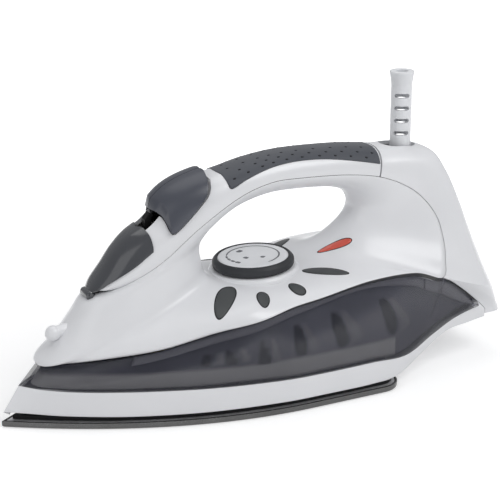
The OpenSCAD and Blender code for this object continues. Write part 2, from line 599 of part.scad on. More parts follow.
module water_tank() color([0.32, 0.33, 0.38]) from_nose() difference() {
    union() {
        loop_loft([for (t = [0, 0.25, 0.5, 0.75, 1]) [for (s = loop_q) tank_skin(s, t)]]);
        translate([funnel_x, 0, 34]) cylinder(r = 9, h = inlet_z - 34);
        at_pumps() translate([0, 0, 44]) cylinder(r = pump_flange_r + 0.6, h = pump_seat_z - 44);
        translate([block_x - 13, -19, block_seat_z - 9]) cube([22, 38, 9]);
    }
    difference() {
        tank_cavity();
        tilted_at_dial() translate([0, 0, -60]) cylinder(r = tunnel_r + tank_wall, h = 60);
        translate([wire_x, 0, 0]) cylinder(r = wire_tunnel_r + tank_wall, h = 80);
    }
    tilted_at_dial() translate([0, 0, -60]) cylinder(r = tunnel_r, h = 60);
    translate([wire_x, 0, 0]) cylinder(r = wire_tunnel_r, h = 80);
    translate([funnel_x, 0, 30]) cylinder(r = 6.2, h = 20);
    translate([rod_x, 0, 10]) cylinder(r = valve_r + fit, h = 20);
    translate([rod_x, 0, 35]) cylinder(r = 2.2, h = 20);
    translate([pump_x, pump_y, 10]) cylinder(r = riser_r + fit, h = 20);
    at_pumps() translate([0, 0, 35]) cylinder(r = riser_r + fit, h = 30);
}
module tank_seal() color([0.2, 0.2, 0.2]) from_nose() translate([funnel_x, 0, inlet_z])
    tube(8.5, 6.25, 0, seal_t);
module fill_funnel() color("gainsboro") from_nose() difference() {
    translate([funnel_x, 0, inlet_z]) union() {
        tube(6.1, 4.9, -5, seal_t + 1.4);
        tube(7.6, 6.2, seal_t, 50);
        tube(7.6, 4.9, seal_t, seal_t + 1.4);
    }
    translate([funnel_x, 0, 85.5]) rotate([0, -46, 0]) translate([-40, -20, 0]) cube([80, 40, 60]);
}
module suction_tube() color("white") from_nose() translate([pump_x, -pump_y, 0])
    tube(riser_r, 1.2, 24, pump_seat_z + 3);
module steam_shot_tube() color("white") from_nose() translate([pump_x, pump_y, 0])
    tube(riser_r, 1.2, chamber_z1, pump_seat_z + 3);

// ---- main housing and covers ---------------------------------------------
nozzle_at = stretch([31.5, 0, 49.3]);
nozzle_pitch = 7;        // the spray axis dips towards the nose
nozzle_l = 13;
module at_nozzle() translate(nozzle_at) rotate([0, 90 - nozzle_pitch, 0]) children();
// Piece of the housing's skin on the right side, between two rows and two columns of
// its grid, reaching out by `out` and in by `in`.
module housing_patch(rows, cols, out, in) {
    g = housing_grid();
    function moved(i, j, d) = let(k = i % len(g)) g[k][j] + d * housing_normal(g, k, j);
    open_shell(
        [for (i = [rows[0] : rows[1]]) [for (j = [cols[0] : cols[1]]) moved(i, j, out)]],
        [for (i = [rows[0] : rows[1]]) [for (j = [cols[0] : cols[1]]) moved(i, j, in)]]);
}
// Inlaid petals round the dial: centre x, centre y, angle of the long axis, length,
// width, share by which one end is blunter, grid rows.
PETALS = [[121.3, 31.9, 49, 27, 10.6, 0.18, [48, 56]],
          [140.2, 40.3, 67, 12.6, 7, 0.1, [48, 54]],
          [162.4, 38.8, -75, 12, 7, 0.1, [46, 51]],
          [186.8, 29.8, -19.5, 28, 7.2, -0.1, [42, 48]]];
LAMP = [200.2, 12.6, -15, 20.5, 7.4, 0, [38, 45]];
petal_depth = 1.0;
petal_proud = 0.25;
module oval(p, d = 0) translate([kx * p[0], -ky * p[1], 0]) rotate([0, 0, p[2]]) linear_extrude(120) polygon(
    [for (a = [0 : 15 : 345]) let(w = 1 + p[5] * cos(a))
        [(p[3] / 2 + d) * cos(a), (p[4] / 2 + d) * w * sin(a)]]);
module petal(k) intersection() {
    housing_patch(PETALS[k][6], [9, 15], petal_proud, seat - petal_depth);
    oval(PETALS[k], -seat);
}
module petal_pocket(p) intersection() {
    housing_patch(p[6], [9, 15], 1, -petal_depth);
    oval(p);
}
module main_housing() color("whitesmoke") from_nose() difference() {
    union() {
        housing_shell();
        tilted_at_dial() translate([0, 0, -3.4]) cylinder(r = dial_r + 3, h = 3.4);
        for (m = [-1, 1]) translate([door_hinge[0], m * 5, door_hinge[1]]) rotate([90, 0, 0])
            cylinder(r = 2, h = 3, center = true);
    }
    tilted_at_dial() translate([0, 0, -9]) cylinder(r = spindle_r + 1.2, h = 20);
    at_nozzle() cylinder(r = 3.6 + fit, h = 12);
    at_nozzle() sphere(4.4 + fit);
    for (p = PETALS) {
        petal_pocket(p);
        mirror([0, 1, 0]) petal_pocket(p);
    }
    intersection() {
        housing_patch(LAMP[6], [8, 13], 1, -4);
        oval(LAMP);
    }
    at_door_hinge() cylinder(r = knuckle_r + clear, h = 2 * knuckle_w + 2 * clear, center = true);
    at_door_hinge() cylinder(r = door_pin_r + 0.02, h = 13.4, center = true);
}
module petal_1_right() color([0.28, 0.29, 0.31]) from_nose() petal(0);
module petal_2_right() color([0.28, 0.29, 0.31]) from_nose() petal(1);
module petal_3_right() color([0.28, 0.29, 0.31]) from_nose() petal(2);
module petal_4_right() color([0.28, 0.29, 0.31]) from_nose() petal(3);
module petal_1_left() color([0.28, 0.29, 0.31]) from_nose() mirror([0, 1, 0]) petal(0);
module petal_2_left() color([0.28, 0.29, 0.31]) from_nose() mirror([0, 1, 0]) petal(1);
module petal_3_left() color([0.28, 0.29, 0.31]) from_nose() mirror([0, 1, 0]) petal(2);
module petal_4_left() color([0.28, 0.29, 0.31]) from_nose() mirror([0, 1, 0]) petal(3);
module lamp_lens() color("tomato") from_nose() intersection() {
    housing_patch(LAMP[6], [8, 13], petal_proud, -wall);
    oval(LAMP, -seat);
}
module pilot_lamp() color("lightsalmon") from_nose() translate([kx * LAMP[0], -ky * LAMP[1], 0]) {
    translate([0, 0, 64.7]) cylinder(r = 2.6, h = 3.6);
    translate([0, 0, 68.3]) sphere(2.6);
}

module cover_patch(u_list, out, in) {
    g = cover_grid(u_list);
    open_shell(offset_grid(g, out), offset_grid(g, in));
}
front_rays = concat([8.75], ray_list(9, 13, 12), ray_list(13.4, seam_u - 0.02, 6));
rear_rays = concat([seam_u + 0.02], [for (i = [spread * 16.5 : spread * tail_u]) i / spread]);

// Side outlines of the pieces set into the top of the handle.
button_outline = along([
    [92.6, 140], [92, 121], [93.5, 113], [96.3, 99.6], [100, 101.2], [107.7, 106.6], [113, 111.5],
    [117.5, 117], [120, 125], [120.5, 130], [123, 140]]);
button_wall_outline = along([
    [92.9, 140], [92.3, 121], [93.8, 113], [95.7, 104], [97.9, 104], [96, 113], [94.5, 121], [95.1, 140]]);
grip_outline = along([
    [124, 150], [126, 132], [130, 123], [133, 121.3], [142, 125], [152.7, 128.4], [163, 130.4],
    [175.5, 131.2], [190, 130.6], [202.8, 128.9], [216, 126.4], [228.3, 123.6], [229.6, 150]]);
door_outline = along([
    [40, 60], [50.8, 69.2], [54, 73], [66, 78.8], [76, 83.8], [87, 90.2], [86.6, 93],
    [83.5, 101], [79.5, 108], [70, 120], [30, 100]]);
// The same outline grown or shrunk about its middle.
function middle(o) = [for (k = [0, 1]) (max([for (p = o) p[k]]) + min([for (p = o) p[k]])) / 2];
function grown(o, d) = let(c = middle(o)) [for (p = o) p + d * unit(p - c)];

lever_window = [82 * kx, 91.4 * kx, 7.6];
module handle_cover() color("white") from_nose() difference() {
    cover_patch(front_rays, 0, -wall);
    side_prism(grown(button_outline, 0.3));
    side_prism(grown(grip_outline, 0.1));
    translate([lever_window[0], -lever_window[2], 98])
        cube([lever_window[1] - lever_window[0] + 8, 2 * lever_window[2], 30]);
    translate([funnel_x, 0, 60]) cylinder(r = 5.2, h = 60);
    at_door_hinge() cylinder(r = knuckle_r + clear, h = 16, center = true);
}
module grip_inlay() color([0.3, 0.32, 0.34]) from_nose() intersection() {
    cover_patch(ray_list(11.6, seam_u - 0.02, 12), 0.4, -wall);
    side_prism(grown(grip_outline, -0.1));
}
// Ribs inside the rear cover hold the swivel's socket.
rib_u = 16.3;
rib_s = 0.86;
rib_t = 4;
socket_r = ball_r + 2.2;
module socket_ribs() let(p = cover_point(rib_u, rib_s)) difference() {
    translate([ball_x - rib_t / 2, -p[1] + wall / 2, ball_z - 13]) cube([rib_t, 2 * p[1] - wall, 9]);
    translate([ball_x, 0, 0]) cylinder(r = socket_r + seat, h = 200);
}
// Flat floor of the heel, on which the iron stands when it is set upright.
module heel_floor()
    translate([0, 0, heel_z]) linear_extrude(wall) polygon(concat(
        [for (j = [0 : cover_cols])
            let(p = cover_point(tail_u, -1 + 2 * j / cover_cols, seam)) [p[0], p[1]]]));
module rear_cover() color("white") from_nose() difference() {
    union() {
        cover_patch(rear_rays, 0, -wall);
        heel_floor();
        socket_ribs();
    }
    slot(ball_x - 6.5, ball_x + 1.5, 7.6, 120, 150);
}

// ---- fill door -----------------------------------------------------------
door_hinge = [52.2 * kx, 69.4];
knuckle_r = 2.6;
knuckle_w = 3;
module at_door_hinge() translate([door_hinge[0], 0, door_hinge[1]]) rotate([90, 0, 0]) children();
module fill_door() color([0.22, 0.22, 0.24]) from_nose() difference() {
    union() {
        intersection() {
            cover_patch(concat([8.75], ray_list(9, 11.4, 8)), door_gap + door_t, door_gap);
            side_prism(door_outline);
        }
        at_door_hinge() cylinder(r = knuckle_r, h = 2 * knuckle_w, center = true);
        side_prism([for (p = [[-2.4, 0.8], [0, 0.8], [0.2, 4.4], [-1.9, 5.4]]) door_hinge + p], knuckle_w);
    }
    at_door_hinge() cylinder(r = door_pin_r + fit, h = 30, center = true);
}
module door_hinge_pin() color("silver") from_nose() at_door_hinge()
    cylinder(r = door_pin_r, h = 13, center = true);

// ---- buttons and pumps ---------------------------------------------------
boss_z = 107;
boss_h = 14.6;
button_rays = ray_list(10.2, 12.4, 10);
button_wall_depth = 3.4;
button_clear = 0.55;     // from a cap's edge to its drawn outline
module button(side) intersection() {
    union() {
        intersection() {
            cover_patch(button_rays, button_gap + button_t, button_gap);
            side_prism(grown(button_outline, -button_clear));
        }
        intersection() {
            cover_patch(button_rays, button_gap + button_t / 2, -button_wall_depth);
            side_prism(button_wall_outline);
        }
        translate([pump_x, side * pump_y, boss_z]) cylinder(r = 3, h = boss_h);
    }
    translate([0, side > 0 ? 0.3 : -40.3, 0]) cube([200, 40, 200]);
}
module spray_button() color([0.27, 0.28, 0.31]) from_nose() button(-1);
module steam_button() color([0.27, 0.28, 0.31]) from_nose() button(1);
pump_bore = 3.1;
pump_top = 94;
module pump_body(side) translate([pump_x, side * pump_y, 0]) difference() {
    union() {
        translate([0, 0, pump_seat_z + seat]) cylinder(r = pump_r, h = pump_top - pump_seat_z - seat);
        translate([0, 0, pump_seat_z + seat]) cylinder(r = pump_flange_r, h = 2);
        if (side < 0) translate([0, 0, spray_z]) rotate([0, -90, 0]) cylinder(r = nipple_r, h = pump_r + 3);
    }
    translate([0, 0, 66]) cylinder(r = pump_bore, h = 40);
    translate([0, 0, pump_seat_z - 1]) cylinder(r = riser_r + fit, h = 4 + fit);
    translate([0, 0, pump_seat_z]) cylinder(r = 1, h = 20);
    if (side < 0) translate([0, 0, spray_z]) rotate([0, -90, 0]) cylinder(r = 0.8, h = pump_r + 4);
}
module pump_piston(side) translate([pump_x, side * pump_y, 0]) {
    translate([0, 0, 76]) cylinder(r = pump_bore - fit, h = 10);
    translate([0, 0, 86]) cylinder(r = 2, h = boss_z - 86);
}
module spray_pump_body() color("ivory") from_nose() pump_body(-1);
module steam_pump_body() color("ivory") from_nose() pump_body(1);
module spray_pump_piston() color("lightgray") from_nose() pump_piston(-1);
module steam_pump_piston() color("lightgray") from_nose() pump_piston(1);
// Coil spring between the pump body and the button's boss.
spring_turns = 4;
spring_mean_r = 3.1;
coil_wire_r = 0.35;
module coil_spring(z0, z1) {
    k = 10 * spring_turns;
    sides = 5;
    points = [for (i = [0 : k], j = [0 : sides - 1])
        let(a = 36 * i, b = 72 * j, r = spring_mean_r + coil_wire_r * cos(b))
        [r * cos(a), r * sin(a), lerp(z0 + coil_wire_r, z1 - coil_wire_r, i / k) + coil_wire_r * sin(b)]];
    polyhedron(points, tube_faces(k, sides));
}
module spray_button_spring() color("silver") from_nose() translate([pump_x, -pump_y, 0])
    coil_spring(pump_top, boss_z);
module steam_button_spring() color("silver") from_nose() translate([pump_x, pump_y, 0])
    coil_spring(pump_top, boss_z);

// ---- steam lever and valve -----------------------------------------------
lever_z = 97;
lever_arm = 6;
rod_r = 1.5;
valve_z = 21;            // bottom of the seat's bore
module steam_lever() color([0.1, 0.1, 0.11]) from_nose() difference() {
    union() {
        translate([rod_x, 0, lever_z]) cylinder(r = 3.6, h = 5.5);
        translate([rod_x - lever_arm - 2, -2, lever_z + 1]) cube([lever_arm + 2, 4, 3]);
        translate([rod_x, 0, lever_z]) side_prism(
            [[-8.4, 1.5], [-4.8, 1.5], [-4.8, 9.2], [-3.6, 11.8], [-5.8, 13.2], [-8.6, 9.6]], 2.2);
    }
    translate([rod_x, 0, 90]) cylinder(r = rod_r + fit, h = lever_z - 90 + 4.2);
}
module steam_valve_rod() color("goldenrod") from_nose() translate([rod_x, 0, 0]) {
    translate([0, 0, valve_z + 4]) cylinder(r = rod_r, h = lever_z + 1.2 - valve_z - 4);
    translate([0, 0, valve_z + 0.2]) cylinder(r1 = 0.6, r2 = rod_r, h = 3.8);
}
module steam_valve_seat() color("darkgoldenrod") from_nose() translate([rod_x, 0, 0]) difference() {
    translate([0, 0, chamber_z1 - 1]) cylinder(r = valve_r, h = 18);
    translate([0, 0, valve_z]) cylinder(r = rod_r + fit, h = 10);
    translate([0, 0, 5]) cylinder(r = 0.5, h = 20);
}

// ---- nozzle --------------------------------------------------------------
module spray_nozzle() color("white") from_nose() at_nozzle() difference() {
    union() {
        sphere(4.4);
        cylinder(r = 3.6, h = nozzle_l);
    }
    translate([0, 0, -6]) cylinder(r = 0.5, h = 30);
    translate([0, 0, 4]) cylinder(r = 2, h = 10);
}

// ---- dial and thermostat -------------------------------------------------
module dial_knob() color([0.2, 0.2, 0.21]) from_nose() tilted_at_dial()
    translate([0, 0, dial_z - pad_z]) difference() {
    rotate_extrude($fn = 72) polygon([
        [0, 0], [dial_r - 0.6, 0], [dial_r, 0.8], [dial_r, dial_h - 2.2], [dial_r - 0.5, dial_h - 0.9],
        [dial_r - 1.6, dial_h - 0.15], [dial_disc_r + 0.1, dial_h], [0, dial_h]]);
    translate([0, 0, dial_h - 1.2]) cylinder(r = dial_disc_r + 0.1, h = 5, $fn = 72);
    translate([0, 0, -1]) cylinder(r = spindle_r, h = 10);
}
module dial_disc() color("lightgray") from_nose() tilted_at_dial()
    translate([0, 0, dial_z - pad_z + dial_h - 1.2])
    rotate_extrude($fn = 72) polygon([
        [0, 0], [dial_disc_r, 0], [dial_disc_r, 0.9], [dial_disc_r - 0.6, 1.2], [0, 1.5]]);
spindle_l = 44;
module thermostat_spindle() color("silver") from_nose() tilted_at_dial()
    translate([0, 0, dial_z - pad_z + dial_h - 1.2 - spindle_l]) cylinder(r = spindle_r, h = spindle_l);
thermostat_r = 10;
module thermostat_body() color("antiquewhite") from_nose() tilted_at_dial() difference() {
    union() {
        translate([0, 0, -62.9]) cylinder(r = thermostat_r, h = 10);
        translate([0, 0, -53]) cylinder(r = 5.4, h = 19);
    }
    translate([0, 0, -41]) cylinder(r = spindle_r + fit, h = 30);
}

// ---- cord guard and swivel -----------------------------------------------
module swivel_ball() color("white") from_nose() translate([ball_x, 0, ball_z]) difference() {
    sphere(ball_r, $fn = 64);
    translate([0, 0, -20]) cylinder(r = guard_r + fit, h = 40);
}
guard_top = 131 + guard_l;
guard_flare = 8;         // height of the flared mouth
guard_foot = ball_z - 8.3;   // stays inside the ball when it tilts
module cord_guard() color([0.95, 0.95, 0.95]) from_nose() translate([ball_x, 0, 0]) difference() {
    union() {
        translate([0, 0, guard_foot]) cylinder(r = guard_r, h = guard_top - guard_flare - guard_foot);
        translate([0, 0, guard_top - guard_flare]) cylinder(r1 = guard_r, r2 = guard_r + 1.1, h = guard_flare);
    }
    translate([0, 0, guard_foot - 1]) cylinder(r = cord_bore_r, h = guard_top - guard_flare - guard_foot + 1);
    translate([0, 0, guard_top - guard_flare])
        cylinder(r1 = cord_bore_r, r2 = guard_r + 0.3, h = guard_flare + 1);
    for (i = [0 : 3]) translate([0, 0, 134 + 6.6 * i]) difference() {
        cylinder(r = 12, h = 1.6);
        rotate([0, 0, 90 * (i % 2)]) translate([-1.6, -12, -1]) cube([3.2, 24, 4]);
    }
}
module swivel_socket() color("gainsboro") from_nose() translate([ball_x, 0, 0]) difference() {
    translate([0, 0, ball_z - 13]) cylinder(r = socket_r, h = 15);
    translate([0, 0, ball_z]) sphere(ball_r + fit, $fn = 64);
    translate([0, 0, ball_z - 20]) cylinder(r = 8.5, h = 20);
}

// ---- leads ---------------------------------------------------------------
block_l = 14;
block_w = 30;
block_h = 12;
module terminal_block() color("ivory") from_nose()
    translate([block_x - block_l / 2, -block_w / 2, block_seat_z + seat]) difference() {
    cube([block_l, block_w, block_h]);
    for (k = [0 : 2]) translate([block_l / 2, block_w / 2 + 9 * (k - 1), 4]) cylinder(r = 2.2, h = 20);
    for (m = [-1, 1]) translate([-1, block_w / 2 + 9 * m, 6]) rotate([0, 90, 0])
        cylinder(r = wire_r + fit, h = 5.5);
}
// Leads from the element's terminals, up through the tank's tunnel, to the block.
lead_z = 12.6;
module lead_wire(m) {
    t = terminal_at;
    b = block_seat_z + seat + 6;
    path = [[t[0] + 2.4 + wire_r + seat, m * t[1], lead_z], [wire_x, m * 12, lead_z],
            [wire_x, m * 3.4, lead_z], [wire_x, m * 3.4, b - 2], [wire_x + 9, m * 9, b],
            [block_x - block_l / 2 + 2, m * 9, b]];
    sweep(path, wire_r, [-0.6, 0.5 * m, 0.6]);
}
module lead_wire_right() color([0.75, 0.2, 0.15]) from_nose() lead_wire(-1);
module lead_wire_left() color([0.2, 0.3, 0.7]) from_nose() lead_wire(1);
// Hose from the spray pump, past the funnel, to the nozzle.
module spray_hose() color("white") from_nose() {
    n = nozzle_at + nozzle_l * [cos(nozzle_pitch), 0, sin(nozzle_pitch)];
    sweep([[pump_x - pump_r - 3.4, -pump_y, spray_z], [pump_x - pump_r - 6, -pump_y, spray_z],
           [86 * kx, -10.8, spray_z - 1], [68 * kx, -11.6, 57], [54 * kx, -8, 53],
           n + [3, 0, 0.4], n + [seat, 0, 0]], 1.8, [0, 0.2, 1]);
}

soleplate_sheet();
soleplate_casting();
heating_element();
steam_chamber_cover();
heat_shield();
skirt();
water_tank();
tank_seal();
fill_funnel();
main_housing();
handle_cover();
rear_cover();
grip_inlay();
fill_door();
spray_button();
steam_button();
spray_button_spring();
steam_button_spring();
spray_pump_body();
steam_pump_body();
spray_pump_piston();
steam_pump_piston();
steam_lever();
steam_valve_rod();
steam_valve_seat();
spray_nozzle();
dial_knob();
dial_disc();
thermostat_spindle();
thermostat_body();
swivel_ball();
cord_guard();
swivel_socket();
petal_1_right();
petal_2_right();
petal_3_right();
petal_4_right();
petal_1_left();
petal_2_left();
petal_3_left();
petal_4_left();
lamp_lens();
pilot_lamp();
door_hinge_pin();
terminal_block();
lead_wire_right();
lead_wire_left();
thermal_fuse();
suction_tube();
steam_shot_tube();
spray_hose();
shield_screws();
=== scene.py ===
"""Looks of a steam iron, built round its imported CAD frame.

The large shells are modelled here as dense smooth skins on the same curves as the CAD
solids, and stand for them. Small exact CAD nodes stay and get their materials.
Lengths in the tables are millimetres, x from the nose, z up from the ironing face.
"""

from __future__ import annotations

import json
import logging
import math
from collections.abc import Callable, Sequence
from dataclasses import dataclass, field
from enum import Enum

import bmesh
import bpy
from mathutils import Matrix, Vector
from mathutils.bvhtree import BVHTree

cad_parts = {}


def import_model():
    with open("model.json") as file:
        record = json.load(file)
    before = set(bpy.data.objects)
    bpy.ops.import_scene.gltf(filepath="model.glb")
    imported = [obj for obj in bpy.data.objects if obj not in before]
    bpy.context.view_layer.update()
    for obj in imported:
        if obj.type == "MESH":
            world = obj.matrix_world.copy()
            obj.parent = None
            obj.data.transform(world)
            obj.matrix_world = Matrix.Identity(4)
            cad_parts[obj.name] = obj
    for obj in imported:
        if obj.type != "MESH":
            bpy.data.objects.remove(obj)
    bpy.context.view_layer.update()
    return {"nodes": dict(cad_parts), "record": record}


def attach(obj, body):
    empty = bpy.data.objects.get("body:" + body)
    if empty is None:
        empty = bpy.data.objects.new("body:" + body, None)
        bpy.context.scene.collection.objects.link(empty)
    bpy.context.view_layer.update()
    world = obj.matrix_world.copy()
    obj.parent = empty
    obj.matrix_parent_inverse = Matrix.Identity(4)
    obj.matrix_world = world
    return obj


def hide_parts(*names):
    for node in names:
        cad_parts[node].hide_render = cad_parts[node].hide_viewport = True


LOG = logging.getLogger("iron")

MM = 0.001
OVERALL_L = 307.0  # nose to heel; the frame's x is measured from the middle of it
CUT_TOP = 150.0  # height to which the cutters through the covers reach
CUT_HALF = 60.0  # half width of the cutters that go right across the iron
Point = tuple[float, float, float]
Place = Callable[[float, float], Vector]


# --------------------------------------------------------------------------
# Curves and skins
# --------------------------------------------------------------------------
def lerp(a: float, b: float, t: float) -> float:
    """Return the value at share t between a and b."""
    return a + (b - a) * t


def clamp01(t: float) -> float:
    """Return t held between 0 and 1."""
    return min(1.0, max(0.0, t))


def in_frame(x: float, y: float, z: float) -> Vector:
    """Turn a place in millimetres behind the nose into the frame's metres."""
    return Vector(((x - OVERALL_L / 2) * MM, y * MM, z * MM))


def catmull(rows: Sequence[Sequence[float]], u: float, closed: bool = False) -> list[float]:
    """Interpolate a table of rows with a Catmull-Rom curve.

    Args:
        rows: the control rows.
        u: the place on the curve, in rows.
        closed: whether the last row joins the first.

    Returns:
        The interpolated row.
    """
    count = len(rows)
    i = math.floor(u)
    t = u - i

    def row(k: int) -> Sequence[float]:
        """Return row k, wrapped or held at the ends."""
        return rows[k % count] if closed else rows[min(count - 1, max(0, k))]

    a, b, c, d = row(i - 1), row(i), row(i + 1), row(i + 2)
    return [
        q + 0.5 * t * (r - p + t * (2 * p - 5 * q + 4 * r - s + t * (3 * (q - r) + s - p)))
        for p, q, r, s in zip(a, b, c, d)
    ]


def smooth_line(points: Sequence[Sequence[float]], steps: int) -> list[tuple[float, float]]:
    """Sample a smooth open curve through 2D points."""
    last = len(points) - 1
    return [tuple(catmull(points, min(i / steps, last - 1e-6))) for i in range(last * steps + 1)]


def signed_power(c: float, n: float) -> float:
    """Return the signed power of a cosine that turns an ellipse into a superellipse."""
    return math.copysign(abs(c) ** (2 / n), c)


@dataclass(frozen=True)
class Skin:
    """The iron's outer surfaces as functions, on the same tables as the CAD solids."""

    section_n: float = 2.4
    heel_n: float = 5.5
    ridge_first: float = 5
    ridge_last: float = 8
    heel_rays: tuple[float, float] = (16, 21)
    nose_ray: float = 5
    tank_end_ray: float = 21
    tank_bulge: float = 1.6
    bulge_start: float = 1.5
    tank_drop: float = 0.4
    rear_station: float = 9
    stations: float = 11
    # x and z on the gap's rim, x and z on the outer edge, half widths at both, end angle
    rays: tuple[tuple[float, ...], ...] = (
        (150, 67.5, 150, 57, 51.6, 51.6, 62),
        (138, 67, 115, 50.3, 44, 44, 106),
        (130, 67, 80, 42, 36, 40, 127),
        (125, 68.5, 50, 37.2, 28, 33, 147),
        (122.5, 71, 31, 35, 22, 25, 160),
        (121, 74, 20.6, 34.1, 20, 22, 180),
        (120, 78, 31.8, 44.3, 19, 20.5, 180),
        (119, 82, 41.4, 56.1, 18, 19, 180),
        (118.5, 86, 50.8, 67.5, 17, 18, 180),
        (119, 90, 69.6, 74.7, 16, 17, 135),
        (121, 94.5, 90, 85, 15.5, 17, 115),
        (126, 100, 113, 102, 15.5, 17, 100),
        (138, 107.5, 137, 116, 16, 17, 90),
        (157, 112.5, 157, 122, 16.5, 17, 88),
        (177, 113, 176, 122.3, 16.5, 17, 88),
        (200, 111, 208, 120, 16.5, 17, 90),
        (213, 106, 232, 115, 16.5, 18, 95),
        (218, 99, 251, 105, 17, 21, 105),
        (217, 93, 262, 91, 18, 27, 112),
        (213, 87.5, 264.3, 77, 20, 33, 112),
        (207, 82, 262.2, 66.8, 24, 38.5, 108),
        (200, 77, 257.2, 57.9, 30, 43, 100),
        (191, 72.5, 236, 65.2, 38, 46, 82),
        (180, 69.5, 206, 65.7, 45, 48.3, 72),
        (165, 68, 175, 61, 50, 50.2, 66),
    )
    # ray, x, z
    ridge_rows: tuple[tuple[float, float, float], ...] = (
        (8.25, 51.9, 69.2), (8.6, 53, 71), (9, 55.6, 75.1), (9.5, 61.2, 82), (10, 67.8, 91),
        (10.5, 75.6, 98.6), (11, 86.2, 105.2), (11.5, 101, 118.5), (12, 120, 126),
        (12.5, 136, 129.5), (13, 152, 132.8), (14, 175, 135), (15, 208, 134),
        (15.8, 231, 131.6), (16.4, 250, 130.5), (17, 268, 126.5), (17.6, 276, 116),
        (18.4, 283, 98), (19.2, 290, 76), (20, 296, 58), (21, 300.5, 44),
        (22, 303.5, 36), (23, 305, 32.5), (24, 306.2, 30), (25, 307, 27.4),
    )
    # x, y, z of the skirt's lower edge, the tank's lower edge and the tank's rear edge
    skirt_rows: tuple[Point, ...] = (
        (1.2, 0, 8.8), (12, 5.8, 8), (32, 17.9, 7), (64, 33.6, 6.4), (104, 47.2, 6.4),
        (145, 54.3, 6.4), (175, 55.3, 6.4), (203, 55, 6.4), (222, 52, 7.2),
        (244, 46, 16.5), (262, 41.5, 23.6), (279, 38.4, 24.8), (292.7, 36, 25.5),
    )
    tank_rows: tuple[Point, ...] = (
        (10.4, 0, 22.7), (21, 10.8, 22), (40, 21.4, 20.8), (70, 34.6, 20.2),
        (107, 46, 19.4), (147, 52.8, 18.8), (175, 54, 18.8), (204, 53.6, 18.9),
        (228, 50.6, 17.8), (248, 46.3, 25), (267, 41.4, 30.6), (286, 37.3, 33),
        (292.7, 36, 30.4),
    )
    rear_rows: tuple[Point, ...] = (
        (236, 45.6, 65.2), (257.2, 42.9, 57.9), (271.5, 40.2, 48.8), (286.6, 37.1, 36.4),
        (292.7, 36, 30.5), (292.7, 36, 27.4),
    )

    def ray_point(self, u: float, v: float, trim: float = 0.0) -> Point:
        """Return the housing's skin on ray u at v, 0 on the gap's rim and 1 on the edge.

        Args:
            u: the ray.
            v: share of the way round the section, 0 to 1.
            trim: how far the skin stops short of the covers' edge, in millimetres.

        Returns:
            The place (x, y, z) on the half with y at or above 0.
        """
        r = catmull(self.rays, u % len(self.rays), closed=True)
        on_ridge = self.ridge_first <= u <= self.ridge_last
        phi_end = math.pi if on_ridge else math.radians(min(180.0, r[6]))
        closed = phi_end >= math.pi - 1e-9
        gx, gz, cx, cz = r[0], r[1], r[2], r[3]
        if not closed:
            reach = math.hypot(cx - gx, cz - gz)
            cx -= trim * (cx - gx) / reach
            cz -= trim * (cz - gz) / reach
        phi = v * phi_end
        n = self.section_n
        a = (1 - signed_power(math.cos(phi), n)) / (1 - signed_power(math.cos(phi_end), n))
        w = lerp(r[4], r[5], a * a)
        y = 0.0 if v <= 0 or phi >= math.pi - 1e-9 else w * math.sin(phi) ** (2 / n)
        return gx + (cx - gx) * a, y, gz + (cz - gz) * a

    def rear_edge(self, u: float) -> Point:
        """Return the tank's rear edge beside ray u."""
        return tuple(catmull(self.rear_rows, 1 + u - self.tank_end_ray))

    def tank_top(self, q: float) -> Point:
        """Return the tank's top edge at station q."""
        if q <= self.rear_station:
            return self.ray_point((self.nose_ray - q) % len(self.rays), 1)
        return self.rear_edge(self.tank_end_ray + q - self.rear_station)

    def tank_skin(self, q: float, t: float) -> Point:
        """Return the tank's outer side at station q, t from its bottom to its top edge.

        Args:
            q: the station, counted from the nose.
            t: share up the tank's side.

        Returns:
            The place (x, y, z) on the half with y at or above 0.
        """
        a = catmull(self.tank_rows, q)
        b = self.tank_top(q)
        grown = clamp01(q / self.bulge_start)
        e = 0.0 if q <= 0 else self.tank_bulge * math.sin(math.pi * t) * grown
        x, y, z = (lerp(a[k], b[k], t) for k in range(3))
        return x, y + e, z - t * self.tank_drop

    def skirt_skin(self, q: float, t: float) -> Point:
        """Return the skirt's outer side at station q, t from its bottom to its top edge.

        Args:
            q: the station, counted from the nose.
            t: share up the skirt's side.

        Returns:
            The place (x, y, z) on the half with y at or above 0.
        """
        a = catmull(self.skirt_rows, q)
        b = catmull(self.tank_rows, q) if q <= self.stations else self.tank_top(q)
        return lerp(a[0], b[0], t), lerp(a[1], b[1], t), lerp(a[2], b[2], t)

    def ridge(self, u: float) -> tuple[float, float]:
        """Return x and z of the covers' ridge in the middle plane at ray u.

        Args:
            u: the ray.

        Returns:
            The place (x, z) in the middle plane.
        """
        rows = self.ridge_rows
        i = 0
        while i < len(rows) - 2 and rows[i + 1][0] <= u:
            i += 1
        r = catmull(rows, i + (u - rows[i][0]) / (rows[i + 1][0] - rows[i][0]))
        return r[1], r[2]

    def cover_edge(self, u: float) -> Point:
        """Return the lower edge of the covers at ray u."""
        return self.ray_point(u, 1) if u <= self.tank_end_ray else self.rear_edge(u)

    def cover_n(self, u: float) -> float:
        """Return the exponent of the cover's section at ray u."""
        first, last = self.heel_rays
        return lerp(self.section_n, self.heel_n, clamp01((u - first) / (last - first)))

